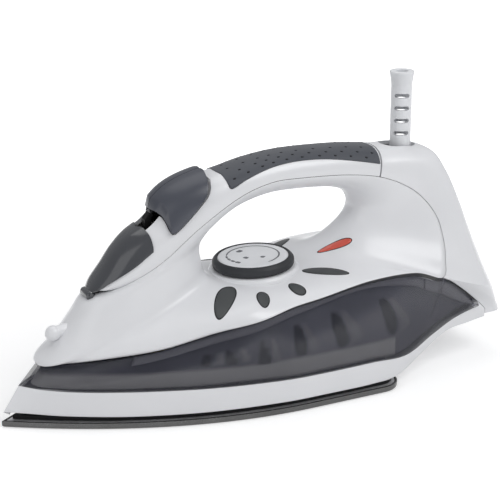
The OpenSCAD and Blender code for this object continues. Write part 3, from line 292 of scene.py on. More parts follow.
    def cover_point(self, u: float, s: float, trim: float = 0.15) -> Point:
        """Return the covers' skin at ray u; s is 0 on the ridge and 1 or -1 on the edges.

        Args:
            u: the ray.
            s: share of the way down the section, its sign giving the side.
            trim: how far the skin stops short of its edge, in millimetres.

        Returns:
            The place (x, y, z).
        """
        e = self.cover_edge(u)
        r = self.ridge(u)
        reach = max(1e-6, math.hypot(r[0] - e[0], r[1] - e[2]))
        ex = e[0] + trim * (r[0] - e[0]) / reach
        ez = e[2] + trim * (r[1] - e[2]) / reach
        n = self.cover_n(u)
        f = max(0.0, math.cos(math.pi / 2 * s)) ** (2 / n)
        w = abs(math.sin(math.pi / 2 * s)) ** (2 / n)
        return lerp(ex, r[0], f), math.copysign(e[1] * w, s), lerp(ez, r[1], f)

    def cover_uv(self, x: float, z: float, low: float, high: float) -> tuple[float, float]:
        """Find the ray and the section share of a place in side view on a cover.

        Args:
            x: place behind the nose.
            z: height.
            low: lowest ray to look at.
            high: highest ray to look at.

        Returns:
            The ray u and the share s, 0 on the ridge and 1 on the lower edge.
        """

        def miss(u: float) -> float:
            """Return on which side of ray u the place lies."""
            e, r = self.cover_edge(u), self.ridge(u)
            return (r[0] - e[0]) * (z - e[2]) - (r[1] - e[2]) * (x - e[0])

        def share(u: float) -> float:
            """Return how far up ray u the place lies, 0 on the edge and 1 on the ridge.

            Args:
                u: the ray.

            Returns:
                The share along the straight line between the two.
            """
            e, r = self.cover_edge(u), self.ridge(u)
            reach2 = (r[0] - e[0]) ** 2 + (r[1] - e[2]) ** 2
            return ((x - e[0]) * (r[0] - e[0]) + (z - e[2]) * (r[1] - e[2])) / reach2

        steps = 160
        step = (high - low) / steps
        rays = (low + k * step for k in range(steps + 1))
        found = min(rays, key=lambda u: math.dist((x, z), self.cover_flat(u, share(u))))
        for k in range(steps):
            a, b = low + k * step, low + (k + 1) * step
            side = miss(a) <= 0
            if (miss(b) <= 0) == side:
                continue
            for _ in range(26):
                m = (a + b) / 2
                a, b = (m, b) if (miss(m) <= 0) == side else (a, m)
            if -0.1 < share(a) < 1.15:
                found = a
                break
        f = clamp01(share(found))
        return found, math.acos(f ** (self.cover_n(found) / 2)) / (math.pi / 2)

    def cover_flat(self, u: float, f: float) -> tuple[float, float]:
        """Return x and z at share f of ray u's straight line from the edge to the ridge."""
        e, r = self.cover_edge(u), self.ridge(u)
        return lerp(e[0], r[0], clamp01(f)), lerp(e[2], r[1], clamp01(f))

    def cover_offset(self, u: float, s: float, d: float) -> Vector:
        """Return the covers' skin moved out along its normal by d millimetres.

        Args:
            u: the ray.
            s: share of the way down the section, its sign giving the side.
            d: the distance, in millimetres.

        Returns:
            The moved place.
        """
        h = 0.01
        p = Vector(self.cover_point(u, s))
        du = Vector(self.cover_point(u + h, s)) - Vector(self.cover_point(u - h, s))
        below, above = self.cover_point(u, min(1.0, s + h)), self.cover_point(u, max(-1.0, s - h))
        ds = Vector(below) - Vector(above)
        n = ds.cross(du)
        if n.length < 1e-9:
            n = Vector((0, 0, 1))
        n.normalize()
        edge, top = self.cover_edge(u), self.ridge(u)
        middle = Vector((top[0], 0, top[1])) - Vector((edge[0], 0, edge[2]))
        if n.dot(middle.normalized() + Vector((0, math.copysign(1.0, s), 0)) * abs(s)) < 0:
            n.negate()
        return p + d * n


SKIN = Skin()


# --------------------------------------------------------------------------
# Mesh tools
# --------------------------------------------------------------------------
def new_object(name: str, bm: bmesh.types.BMesh) -> bpy.types.Object:
    """Turn a bmesh into a smooth-shaded object at the origin and free the bmesh.

    Args:
        name: the object's name.
        bm: the finished shape.

    Returns:
        The object, without a material.
    """
    mesh = bpy.data.meshes.new(name)
    bm.to_mesh(mesh)
    bm.free()
    mesh.shade_smooth()
    obj = bpy.data.objects.new(name, mesh)
    bpy.context.scene.collection.objects.link(obj)
    return obj


def grid_mesh(cols: int, rows: int, place: Place) -> bmesh.types.BMesh:
    """Make a sheet from a grid whose vertices are moved to their places.

    Args:
        cols: faces along the first parameter.
        rows: faces along the second parameter.
        place: gives the place in millimetres of two shares between 0 and 1.

    Returns:
        The sheet, its coinciding vertices merged, with a UV map that holds the two shares.
    """
    bm = bmesh.new()
    bmesh.ops.create_grid(bm, x_segments=cols, y_segments=rows, size=0.5)
    layer = bm.loops.layers.uv.new("skin")
    for face in bm.faces:
        for loop in face.loops:
            loop[layer].uv = (loop.vert.co.x + 0.5, loop.vert.co.y + 0.5)
    for vert in bm.verts:
        p = place(clamp01(vert.co.x + 0.5), clamp01(vert.co.y + 0.5))
        vert.co = in_frame(*p)
    bmesh.ops.remove_doubles(bm, verts=bm.verts, dist=2e-6)
    return bm


def face_outwards(bm: bmesh.types.BMesh, inside: Vector) -> None:
    """Turn an open sheet so that its faces look away from a place inside it.

    Args:
        bm: the sheet.
        inside: a place inside it, in metres.
    """
    bmesh.ops.recalc_face_normals(bm, faces=bm.faces)
    bm.normal_update()
    total = sum(f.normal.dot(f.calc_center_median() - inside) * f.calc_area() for f in bm.faces)
    if total < 0:
        bmesh.ops.reverse_faces(bm, faces=bm.faces)
    bm.normal_update()


def mark_sharp(obj: bpy.types.Object, degrees: float = 40.0) -> None:
    """Mark the edges whose faces meet at more than an angle as sharp.

    Args:
        obj: the piece.
        degrees: the angle from which an edge is sharp.
    """
    bm = bmesh.new()
    bm.from_mesh(obj.data)
    limit = math.radians(degrees)
    for edge in bm.edges:
        edge.smooth = len(edge.link_faces) == 2 and edge.calc_face_angle(0.0) < limit
    bm.to_mesh(obj.data)
    bm.free()


def solidify(obj: bpy.types.Object, thickness: float, even: bool = True) -> None:
    """Give a sheet a wall on its inner side.

    Args:
        obj: the sheet.
        thickness: the wall, in millimetres.
        even: whether the wall keeps its thickness at corners.
    """
    mod = obj.modifiers.new("wall", "SOLIDIFY")
    mod.thickness = thickness * MM
    mod.offset = -1.0
    mod.use_even_offset = even
    mod.use_quality_normals = True


def bevel(obj: bpy.types.Object, width: float, segments: int = 2, degrees: float = 50.0) -> None:
    """Round the edges sharper than an angle, by a width in millimetres.

    Args:
        obj: the piece.
        width: the rounding's width, in millimetres.
        segments: faces across the rounding.
        degrees: the angle from which an edge is rounded.
    """
    mod = obj.modifiers.new("edges", "BEVEL")
    mod.width = width * MM
    mod.segments = segments
    mod.limit_method = "ANGLE"
    mod.angle_limit = math.radians(degrees)
    mod.use_clamp_overlap = True
    mod.harden_normals = False


def apply_modifiers(obj: bpy.types.Object) -> None:
    """Replace an object's mesh with what its modifiers make of it.

    Args:
        obj: the piece.
    """
    bpy.context.view_layer.update()
    graph = bpy.context.evaluated_depsgraph_get()
    mesh = bpy.data.meshes.new_from_object(obj.evaluated_get(graph), depsgraph=graph)
    old = obj.data
    obj.modifiers.clear()
    obj.data = mesh
    bpy.data.meshes.remove(old)


def cut(obj: bpy.types.Object, cutters: Sequence[bpy.types.Object]) -> None:
    """Cut other closed pieces away from a piece, and delete them.

    Args:
        obj: the piece.
        cutters: what is taken away from it.
    """
    for cutter in cutters:
        mod = obj.modifiers.new("cut", "BOOLEAN")
        mod.operation = "DIFFERENCE"
        mod.solver = "EXACT"
        mod.object = cutter
    apply_modifiers(obj)
    for cutter in cutters:
        mesh = cutter.data
        bpy.data.objects.remove(cutter)
        bpy.data.meshes.remove(mesh)


def prism(outline: Sequence[Vector], step: tuple[float, float, float]) -> bpy.types.Object:
    """Make a prism from a flat outline.

    Args:
        outline: the places of its first end, in the frame.
        step: the way from there to its other end, in millimetres.

    Returns:
        The prism, named as a cutter.
    """
    bm = bmesh.new()
    face = bm.faces.new([bm.verts.new(place) for place in outline])
    made = bmesh.ops.extrude_face_region(bm, geom=[face])
    moved = [g for g in made["geom"] if isinstance(g, bmesh.types.BMVert)]
    bmesh.ops.translate(bm, verts=moved, vec=[d * MM for d in step])
    bmesh.ops.recalc_face_normals(bm, faces=bm.faces)
    return new_object("cutter", bm)


def side_prism(outline: Sequence[tuple[float, float]], half_width: float) -> bpy.types.Object:
    """Make a prism across the iron from an outline in side view."""
    places = [in_frame(x, -half_width, z) for x, z in outline]
    return prism(places, (0, 2 * half_width, 0))


def plan_prism(
    outline: Sequence[tuple[float, float]], z0: float, z1: float = CUT_TOP
) -> bpy.types.Object:
    """Make an upright prism from an outline in plan."""
    return prism([in_frame(x, y, z0) for x, y in outline], (0, 0, z1 - z0))


def ring_points(x: float, y: float, r: float, steps: int = 48) -> list[tuple[float, float]]:
    """Return the points of a circle in plan."""
    turns = [2 * math.pi * i / steps for i in range(steps)]
    return [(x + r * math.cos(a), y + r * math.sin(a)) for a in turns]


def half_circle(r: float, step: int) -> list[tuple[float, float]]:
    """Return the points of a half circle from -90 to 90 degrees, step degrees apart."""
    turns = [math.radians(a) for a in range(-90, 91, step)]
    return [(r * math.cos(a), r * math.sin(a)) for a in turns]


def lathe(
    name: str, profile: Sequence[tuple[float, float]], place: Matrix, steps: int = 96
) -> bpy.types.Object:
    """Spin a profile of radius and height, in millimetres, round the z axis.

    Args:
        name: the object's name.
        profile: points (radius, height), open at the axis or closed onto it.
        place: moves the finished shape, in millimetres behind the nose.
        steps: segments of the full turn.

    Returns:
        The turned piece.
    """
    bm = bmesh.new()
    verts = [bm.verts.new((r, 0, z)) for r, z in profile]
    edges = [bm.edges.new(pair) for pair in zip(verts, verts[1:])]
    bmesh.ops.spin(
        bm, geom=verts + edges, axis=(0, 0, 1), cent=(0, 0, 0), angle=2 * math.pi, steps=steps,
        use_merge=True,
    )
    bmesh.ops.remove_doubles(bm, verts=bm.verts, dist=1e-4)
    bmesh.ops.recalc_face_normals(bm, faces=bm.faces)
    bm.normal_update()
    bmesh.ops.transform(bm, matrix=place, verts=bm.verts)
    for vert in bm.verts:
        vert.co = in_frame(*vert.co)
    return new_object(name, bm)


def soft_profile(
    points: Sequence[tuple[float, float]], radius: float, steps: int = 4
) -> list[tuple[float, float]]:
    """Round the inner corners of an open profile.

    Args:
        points: the profile's corners.
        radius: the greatest radius of a corner.
        steps: segments of each round.

    Returns:
        The rounded profile.
    """
    out = [points[0]]
    for a, b, c in zip(points, points[1:], points[2:]):
        va, vc = Vector(a) - Vector(b), Vector(c) - Vector(b)
        reach = min(radius, va.length * 0.45, vc.length * 0.45)
        start = Vector(b) + va.normalized() * reach
        end = Vector(b) + vc.normalized() * reach
        for k in range(steps + 1):
            t = k / steps
            p = start * (1 - t) ** 2 + 2 * t * (1 - t) * Vector(b) + end * t * t
            out.append((p.x, p.y))
    out.append(points[-1])
    return out


# --------------------------------------------------------------------------
# Shared shader groups
# --------------------------------------------------------------------------
def socket(
    tree: bpy.types.NodeTree, name: str, kind: str, is_input: bool, value: float | None = None
) -> None:
    """Add a socket to a group's interface.

    Args:
        tree: the group.
        name: the socket's name.
        kind: Float, Color or Vector.
        is_input: whether it is an input.
        value: what the input holds when nothing is set.
    """
    item = tree.interface.new_socket(
        name=name, in_out="INPUT" if is_input else "OUTPUT", socket_type="NodeSocket" + kind
    )
    if value is not None:
        item.default_value = value


def group_tree(name: str) -> tuple[bpy.types.NodeTree, bpy.types.Node, bpy.types.Node]:
    """Make an empty shader group with its input and output nodes."""
    tree = bpy.data.node_groups.new(name, "ShaderNodeTree")
    return tree, tree.nodes.new("NodeGroupInput"), tree.nodes.new("NodeGroupOutput")


def add_math(
    tree: bpy.types.NodeTree, operation: str, a: object, b: object
) -> bpy.types.NodeSocket:
    """Add a Math node and return its output.

    Args:
        tree: the node tree.
        operation: the node's operation.
        a: first input, a socket or a number.
        b: second input, a socket or a number.

    Returns:
        The node's value.
    """
    node = tree.nodes.new("ShaderNodeMath")
    node.operation = operation
    for index, value in enumerate((a, b)):
        if isinstance(value, bpy.types.NodeSocket):
            tree.links.new(value, node.inputs[index])
        else:
            node.inputs[index].default_value = value
    return node.outputs[0]


def make_grain_group() -> bpy.types.NodeTree:
    """Make the moulded surface: fine grain as a normal, and uneven gloss.

    Returns:
        The group, which takes the scale and depth of the grain and the mean gloss with its
        spread.
    """
    tree, given, out = group_tree("moulded_surface")
    for name, value in (("Scale", 900.0), ("Depth", 0.02), ("Gloss", 0.3), ("Spread", 0.08)):
        socket(tree, name, "Float", True, value)
    socket(tree, "Roughness", "Float", False)
    socket(tree, "Normal", "Vector", False)
    where = tree.nodes.new("ShaderNodeTexCoord")
    fine = tree.nodes.new("ShaderNodeTexNoise")
    fine.inputs["Detail"].default_value = 3
    tree.links.new(where.outputs["Object"], fine.inputs["Vector"])
    tree.links.new(given.outputs["Scale"], fine.inputs["Scale"])
    broad = tree.nodes.new("ShaderNodeTexNoise")
    broad.inputs["Scale"].default_value = 38
    broad.inputs["Detail"].default_value = 4
    tree.links.new(where.outputs["Object"], broad.inputs["Vector"])
    swing = add_math(tree, "SUBTRACT", broad.outputs[0], 0.5)
    spread = add_math(tree, "MULTIPLY", swing, given.outputs["Spread"])
    tree.links.new(add_math(tree, "ADD", spread, given.outputs["Gloss"]), out.inputs["Roughness"])
    bump = tree.nodes.new("ShaderNodeBump")
    bump.inputs["Distance"].default_value = 0.0004
    tree.links.new(given.outputs["Depth"], bump.inputs["Strength"])
    tree.links.new(fine.outputs[0], bump.inputs["Height"])
    tree.links.new(bump.outputs[0], out.inputs["Normal"])
    return tree


def make_mottle_group() -> bpy.types.NodeTree:
    """Make a colour that drifts a little over the surface, as moulded plastic does.

    Returns:
        The group, which takes the two colours and the scale of the drift.
    """
    tree, given, out = group_tree("colour_drift")
    socket(tree, "Light", "Color", True)
    socket(tree, "Dark", "Color", True)
    socket(tree, "Scale", "Float", True, 26.0)
    socket(tree, "Color", "Color", False)
    where = tree.nodes.new("ShaderNodeTexCoord")
    noise = tree.nodes.new("ShaderNodeTexNoise")
    noise.inputs["Detail"].default_value = 5
    noise.inputs["Roughness"].default_value = 0.6
    tree.links.new(where.outputs["Object"], noise.inputs["Vector"])
    tree.links.new(given.outputs["Scale"], noise.inputs["Scale"])
    mix = tree.nodes.new("ShaderNodeMix")
    mix.data_type = "RGBA"
    ramp = tree.nodes.new("ShaderNodeMapRange")
    ramp.inputs["From Min"].default_value = 0.3
    ramp.inputs["From Max"].default_value = 0.7
    tree.links.new(noise.outputs[0], ramp.inputs["Value"])
    tree.links.new(ramp.outputs[0], mix.inputs["Factor"])
    tree.links.new(given.outputs["Dark"], mix.inputs["A"])
    tree.links.new(given.outputs["Light"], mix.inputs["B"])
    tree.links.new(mix.outputs["Result"], out.inputs["Color"])
    return tree


def make_brushed_group() -> bpy.types.NodeTree:
    """Make brushed metal: fine lines along x as a normal, and streaked gloss.

    Returns:
        The group, which takes the number and depth of the lines and the mean gloss with its
        spread.
    """
    tree, given, out = group_tree("brushed_lines")
    for name, value in (("Lines", 2600.0), ("Depth", 0.1), ("Gloss", 0.3), ("Spread", 0.15)):
        socket(tree, name, "Float", True, value)
    socket(tree, "Roughness", "Float", False)
    socket(tree, "Normal", "Vector", False)
    where = tree.nodes.new("ShaderNodeTexCoord")
    stretch = tree.nodes.new("ShaderNodeMapping")
    stretch.inputs["Scale"].default_value = (0.03, 1.0, 1.0)
    tree.links.new(where.outputs["Object"], stretch.inputs["Vector"])
    noise = tree.nodes.new("ShaderNodeTexNoise")
    noise.inputs["Detail"].default_value = 2
    tree.links.new(stretch.outputs[0], noise.inputs["Vector"])
    tree.links.new(given.outputs["Lines"], noise.inputs["Scale"])
    swing = add_math(tree, "SUBTRACT", noise.outputs[0], 0.5)
    spread = add_math(tree, "MULTIPLY", swing, given.outputs["Spread"])
    tree.links.new(add_math(tree, "ADD", spread, given.outputs["Gloss"]), out.inputs["Roughness"])
    bump = tree.nodes.new("ShaderNodeBump")
    bump.inputs["Distance"].default_value = 0.0002
    tree.links.new(given.outputs["Depth"], bump.inputs["Strength"])
    tree.links.new(noise.outputs[0], bump.inputs["Height"])
    tree.links.new(bump.outputs[0], out.inputs["Normal"])
    return tree


# --------------------------------------------------------------------------
# Finishes
# --------------------------------------------------------------------------
@dataclass(frozen=True)
class Plastic:
    """A moulded or soft-touch plastic."""

    name: str
    light: tuple[float, float, float]
    dark: tuple[float, float, float]
    gloss: float = 0.3
    spread: float = 0.08
    grain: float = 900.0
    depth: float = 0.02
    coat: float = 0.0
    sheen: float = 0.0
    subsurface: float = 0.0
    specular: float = 0.5
    alpha: float = 1.0


@dataclass(frozen=True)
class Metal:
    """A brushed, cast or plain metal."""

    name: str
    light: tuple[float, float, float]
    dark: tuple[float, float, float]
    gloss: float = 0.3
    lines: float = 2600.0
    depth: float = 0.1
    spread: float = 0.15


class Paint:
    """Builds the materials from the shared shader groups."""

    coat_roughness: float = 0.12
    subsurface_scale: float = 0.002

    def __init__(self) -> None:
        """Make the shared groups."""
        self.grain = make_grain_group()
        self.mottle = make_mottle_group()
        self.brushed = make_brushed_group()

    @staticmethod
    def blank(name: str) -> tuple[bpy.types.Material, bpy.types.NodeTree, bpy.types.Node]:
        """Make a material with one Principled shader.

        Args:
            name: the material's name.

        Returns:
            The material, its nodes and the shader.
        """
        mat = bpy.data.materials.new(name)
        mat.use_nodes = True
        tree = mat.node_tree
        return mat, tree, tree.nodes["Principled BSDF"]

    def drift(
        self, tree: bpy.types.NodeTree, light: Sequence[float], dark: Sequence[float]
    ) -> bpy.types.NodeSocket:
        """Add the drifting colour and return it.

        Args:
            tree: the material's nodes.
            light: the lighter colour.
            dark: the darker colour.

        Returns:
            The colour.
        """
        node = tree.nodes.new("ShaderNodeGroup")
        node.node_tree = self.mottle
        node.inputs["Light"].default_value = (*light, 1)
        node.inputs["Dark"].default_value = (*dark, 1)
        return node.outputs["Color"]

    @staticmethod
    def moulded(
        tree: bpy.types.NodeTree, shader: bpy.types.Node, group: bpy.types.NodeTree,
        values: dict[str, float],
    ) -> None:
        """Add a surface group and join it to the shader's roughness and normal.

        Args:
            tree: the material's nodes.
            shader: its Principled shader.
            group: the surface group.
            values: what the group's inputs hold.
        """
        node = tree.nodes.new("ShaderNodeGroup")
        node.node_tree = group
        for name, value in values.items():
            node.inputs[name].default_value = value
        for name in ("Roughness", "Normal"):
            tree.links.new(node.outputs[name], shader.inputs[name])

    @staticmethod
    def mixed(
        tree: bpy.types.NodeTree, factor: bpy.types.NodeSocket, a: bpy.types.NodeSocket, b: object
    ) -> bpy.types.NodeSocket:
        """Mix two colours.

        Args:
            tree: the material's nodes.
            factor: how much of the second colour is in the mix.
            a: the first colour.
            b: the second colour, a socket or four numbers.

        Returns:
            The mixed colour.
        """
        node = tree.nodes.new("ShaderNodeMix")
        node.data_type = "RGBA"
        tree.links.new(factor, node.inputs["Factor"])
        tree.links.new(a, node.inputs["A"])
        if isinstance(b, bpy.types.NodeSocket):
            tree.links.new(b, node.inputs["B"])
        else:
            node.inputs["B"].default_value = b
        return node.outputs["Result"]

    def plastic(self, spec: Plastic) -> bpy.types.Material:
        """Make a plastic from its description.

        Args:
            spec: the plastic.

        Returns:
            The material.
        """
        mat, tree, shader = self.blank(spec.name)
        tree.links.new(self.drift(tree, spec.light, spec.dark), shader.inputs["Base Color"])
        self.moulded(tree, shader, self.grain, {
            "Scale": spec.grain, "Depth": spec.depth, "Gloss": spec.gloss, "Spread": spec.spread,
        })
        for name, value in (
            ("Coat Weight", spec.coat),
            ("Coat Roughness", self.coat_roughness),
            ("Sheen Weight", spec.sheen),
            ("Subsurface Weight", spec.subsurface),
            ("Subsurface Scale", self.subsurface_scale),
            ("Subsurface Radius", (1, 1, 1)),
            ("Specular IOR Level", spec.specular),
            ("Alpha", spec.alpha),
        ):
            shader.inputs[name].default_value = value
        return mat

    def metal(self, spec: Metal) -> bpy.types.Material:
        """Make a metal from its description.

        Args:
            spec: the metal.

        Returns:
            The material.
        """
        mat, tree, shader = self.blank(spec.name)
        tree.links.new(self.drift(tree, spec.light, spec.dark), shader.inputs["Base Color"])
        shader.inputs["Metallic"].default_value = 1.0
        self.moulded(tree, shader, self.brushed, {
            "Lines": spec.lines, "Depth": spec.depth, "Gloss": spec.gloss, "Spread": spec.spread,
        })
        return mat

    def liner(self, name: str) -> bpy.types.Material:
        """Make the grey seen through the smoke tank: darker ahead, with a pale band low down.

        Args:
            name: the material's name.

        Returns:
            The material, with painted shade and highlight on the ribs from a second UV map.
        """
        mat, tree, shader = self.blank(name)
        where = tree.nodes.new("ShaderNodeTexCoord")
        axes = tree.nodes.new("ShaderNodeSeparateXYZ")
        tree.links.new(where.outputs["Object"], axes.inputs[0])

        def ramp(axis: str, low: float, high: float) -> bpy.types.NodeSocket:
            """Add a smooth step along an axis.

            Args:
                axis: X, Y or Z.
                low: where it is 0, in metres.
                high: where it is 1.

            Returns:
                The step.
            """
            node = tree.nodes.new("ShaderNodeMapRange")
            node.interpolation_type = "SMOOTHSTEP"
            node.inputs["From Min"].default_value = low
            node.inputs["From Max"].default_value = high
            tree.links.new(axes.outputs[axis], node.inputs["Value"])
            return node.outputs[0]

        ahead = self.drift(tree, (0.12, 0.12, 0.165), (0.085, 0.085, 0.125))
        behind = self.drift(tree, (0.30, 0.30, 0.37), (0.23, 0.23, 0.29))
        body = self.mixed(tree, ramp("X", -0.09, 0.03), ahead, behind)
        low = add_math(tree, "MULTIPLY", ramp("Z", 0.030, 0.0268), ramp("X", 0.0697, 0.0687))
        pale = self.drift(tree, (0.85, 0.84, 0.86), (0.7, 0.69, 0.71))
        banded = self.mixed(tree, low, body, pale)
        shade = tree.nodes.new("ShaderNodeUVMap")
        shade.uv_map = "flank"
        flank = tree.nodes.new("ShaderNodeSeparateXYZ")
        tree.links.new(shade.outputs["UV"], flank.inputs[0])
        # painted shade on the front slopes of the ribs and painted highlight on their backs
        side = self.mixed(tree, flank.outputs["X"], banded, (0.012, 0.012, 0.018, 1))
        rib_painted_highlight = self.mixed(tree, flank.outputs["Y"], side, (0.5, 0.5, 0.54, 1))
        tree.links.new(rib_painted_highlight, shader.inputs["Base Color"])
        shader.inputs["Roughness"].default_value = 0.5
        return mat


@dataclass
class Finishes:
    """Every finish of the iron, by name."""

    paint: Paint = field(default_factory=Paint)
    made: dict[str, bpy.types.Material] = field(default_factory=dict)

    def build(self) -> None:
        """Make all the finishes."""
        p = self.paint
        for spec in (
            Plastic(
                "white_shell", (0.80, 0.805, 0.825), (0.77, 0.775, 0.795), gloss=0.34, coat=0.25,
                subsurface=0.05,
            ),
            Plastic(
                "smoke_tank", (0.032, 0.033, 0.048), (0.024, 0.025, 0.037), gloss=0.16, depth=0.0,
                coat=0.2, alpha=0.4,
            ),
            # black plastic, also laid under the petals, the lens and the buttons as painted shade
            Plastic(
                "black_band_and_painted_shade", (0.010, 0.010, 0.011), (0.006, 0.006, 0.007), gloss=0.5, depth=0.05,
                specular=0.15,
            ),
            Plastic(
                "soft_grip", (0.068, 0.074, 0.088), (0.056, 0.061, 0.074), gloss=0.5, depth=0.12,
                grain=2400, sheen=0.2, specular=0.35,
            ),
            Plastic(
                "door_gloss", (0.055, 0.058, 0.066), (0.045, 0.048, 0.055), gloss=0.2, coat=0.5,
            ),
            Plastic(
                "button_satin", (0.066, 0.071, 0.09), (0.055, 0.06, 0.077), gloss=0.34, depth=0.05,
            ),
            Plastic(
                "dial_ring", (0.035, 0.037, 0.041), (0.028, 0.03, 0.034), gloss=0.52,
                specular=0.35,
            ),
            Plastic(
                "petal_grey", (0.062, 0.066, 0.068), (0.05, 0.054, 0.056), gloss=0.42, depth=0.05,
            ),
            Plastic(
                "guard_rubber", (0.82, 0.83, 0.85), (0.77, 0.78, 0.80), gloss=0.45, subsurface=0.3,
            ),
            Plastic(
                "lens_red", (0.75, 0.13, 0.09), (0.6, 0.08, 0.05), gloss=0.2, coat=0.5,
                subsurface=0.2,
            ),
            Plastic("ivory", (0.8, 0.78, 0.7), (0.74, 0.71, 0.62), gloss=0.45),
            # seal rubber, also put on the housing's cut edges as painted shade in its seams
            Plastic("seal_and_painted_shade", (0.05, 0.05, 0.05), (0.035, 0.035, 0.035), gloss=0.6),
            Plastic("ceramic", (0.75, 0.7, 0.6), (0.66, 0.61, 0.5), gloss=0.6, depth=0.1),
            Plastic("wire_red", (0.6, 0.1, 0.08), (0.5, 0.07, 0.05), gloss=0.4),
            Plastic("wire_blue", (0.08, 0.15, 0.5), (0.06, 0.11, 0.4), gloss=0.4),
            Plastic("dial_print", (0.16, 0.165, 0.18), (0.14, 0.145, 0.16), gloss=0.5),
            Plastic(
                "grip_dimple", (0.02, 0.021, 0.025), (0.015, 0.016, 0.019), gloss=0.6, specular=0.2,
            ),
            Plastic("tank_rim", (0.53, 0.53, 0.6), (0.46, 0.46, 0.53), gloss=0.5),
        ):
            self.made[spec.name] = p.plastic(spec)
        for metal in (
            Metal("sole_steel", (0.15, 0.15, 0.15), (0.11, 0.11, 0.11), gloss=0.26),
            Metal("spring_steel", (0.6, 0.6, 0.6), (0.5, 0.5, 0.5), gloss=0.3),
            Metal(
                "cast_metal", (0.72, 0.72, 0.73), (0.6, 0.6, 0.62), gloss=0.55, lines=700,
                depth=0.3,
            ),
            Metal("brass", (0.75, 0.6, 0.3), (0.62, 0.48, 0.22), gloss=0.35),
        ):
            self.made[metal.name] = p.metal(metal)
        self.made["tank_liner"] = p.liner("tank_liner")

    def __getitem__(self, name: str) -> bpy.types.Material:
        """Return a finish by name."""
        return self.made[name]


# --------------------------------------------------------------------------
# The pieces
# --------------------------------------------------------------------------
class Body(Enum):
    """The bodies of the frame that pieces ride on."""

    IRON = "iron"
    DIAL = "dial"
    SPRAY = "spray_key"
    STEAM = "steam_key"
    DOOR = "door"
    GUARD = "guard"


def settle(
    obj: bpy.types.Object, material: bpy.types.Material, slot: str, body: Body = Body.IRON,
    *nodes: str,
) -> None:
    """Give a piece its finish and body, and hide the CAD nodes it stands for.

    Args:
        obj: the piece.
        material: its finish.
        slot: not used.
        body: the body that it rides on.
        nodes: the CAD nodes that it stands for.
    """
    obj.data.materials.clear()
    obj.data.materials.append(material)
    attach(obj, body.value)
    if nodes:
        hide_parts(*nodes)
    LOG.info("%s: %d faces on %s", obj.name, len(obj.data.polygons), body.value)


@dataclass
class Housing:
    """The white main housing round the finger gap, and the pad under the dial."""

    wall: float = 2.2
    seam: float = 0.15
    per_ray: int = 8
    half_rows: int = 26
    dial_x: float = 154.5
    pad_z: float = 69.0
    dial_tilt: float = 3.0
    pad_r: float = 26.4
    pad_h: float = 5.0
    deck_z: float = 55.0
    over_deck: float = 95.0
    outer: BVHTree | None = None

    def sheet(self) -> bmesh.types.BMesh:
        """Make the outer skin as one open sheet.

        Returns:
            The skin, with its faces looking outwards.
        """
        count = len(SKIN.rays)

        def place(a: float, b: float) -> Point:
            """Return the skin at share a round the gap and b across the iron.

            Args:
                a: share round the gap.
                b: share across the iron.

            Returns:
                The place (x, y, z).
            """
            v = abs(2 * b - 1)
            p = SKIN.ray_point((a * count) % count, v, self.seam)
            return p[0], math.copysign(p[1], b - 0.5), p[2]

        bm = grid_mesh(count * self.per_ray, 2 * self.half_rows, place)
        face_outwards(bm, in_frame(90, 0, 60))
        return bm

    def dial_matrix(self) -> Matrix:
        """Return the place of the dial's axis on the pad, in millimetres."""
        tilt = Matrix.Rotation(-math.radians(self.dial_tilt), 4, "Y")
        return Matrix.Translation((self.dial_x, 0, self.pad_z)) @ tilt

    def build(self, finish: Finishes) -> None:
        """Build the housing and the dial's pad.

        Args:
            finish: the finishes.
        """
        bm = self.sheet()
        self.outer = BVHTree.FromBMesh(bm)
        shell = new_object("housing_shell", bm)
        solidify(shell, self.wall)
        # the wall's cut edges take the near-black seal finish: painted shade along the seams
        shell.modifiers[-1].material_offset_rim = 1
        settle(shell, finish["white_shell"], "white_plastic", Body.IRON, "main_housing")
        shell.data.materials.append(finish["seal_and_painted_shade"])
        r, foot = self.pad_r, -self.pad_h
        corners = [(0, -0.02), (r - 1.4, -0.02), (r, -1.6), (r + 0.4, foot), (0, foot)]
        pad = lathe("dial_pad", soft_profile(corners, 1.6), self.dial_matrix())
        settle(pad, finish["white_shell"], "white_plastic")

    def on_deck(self, x: float, y: float, lift: float = 0.0) -> Vector:
        """Drop a place in plan onto the housing's skin, moved out by lift millimetres.

        Args:
            x: place behind the nose.
            y: place across the iron.
            lift: how far it is moved out.

        Returns:
            The place on the skin, in metres.
        """
        start = in_frame(x, y, self.over_deck)
        hit, normal, _, _ = self.outer.ray_cast(start, Vector((0, 0, -1)))
        if hit is None:
            hit, normal, _, _ = self.outer.find_nearest(in_frame(x, y, self.deck_z))
        if normal.z < 0:
            normal = -normal
        return hit + normal * lift * MM


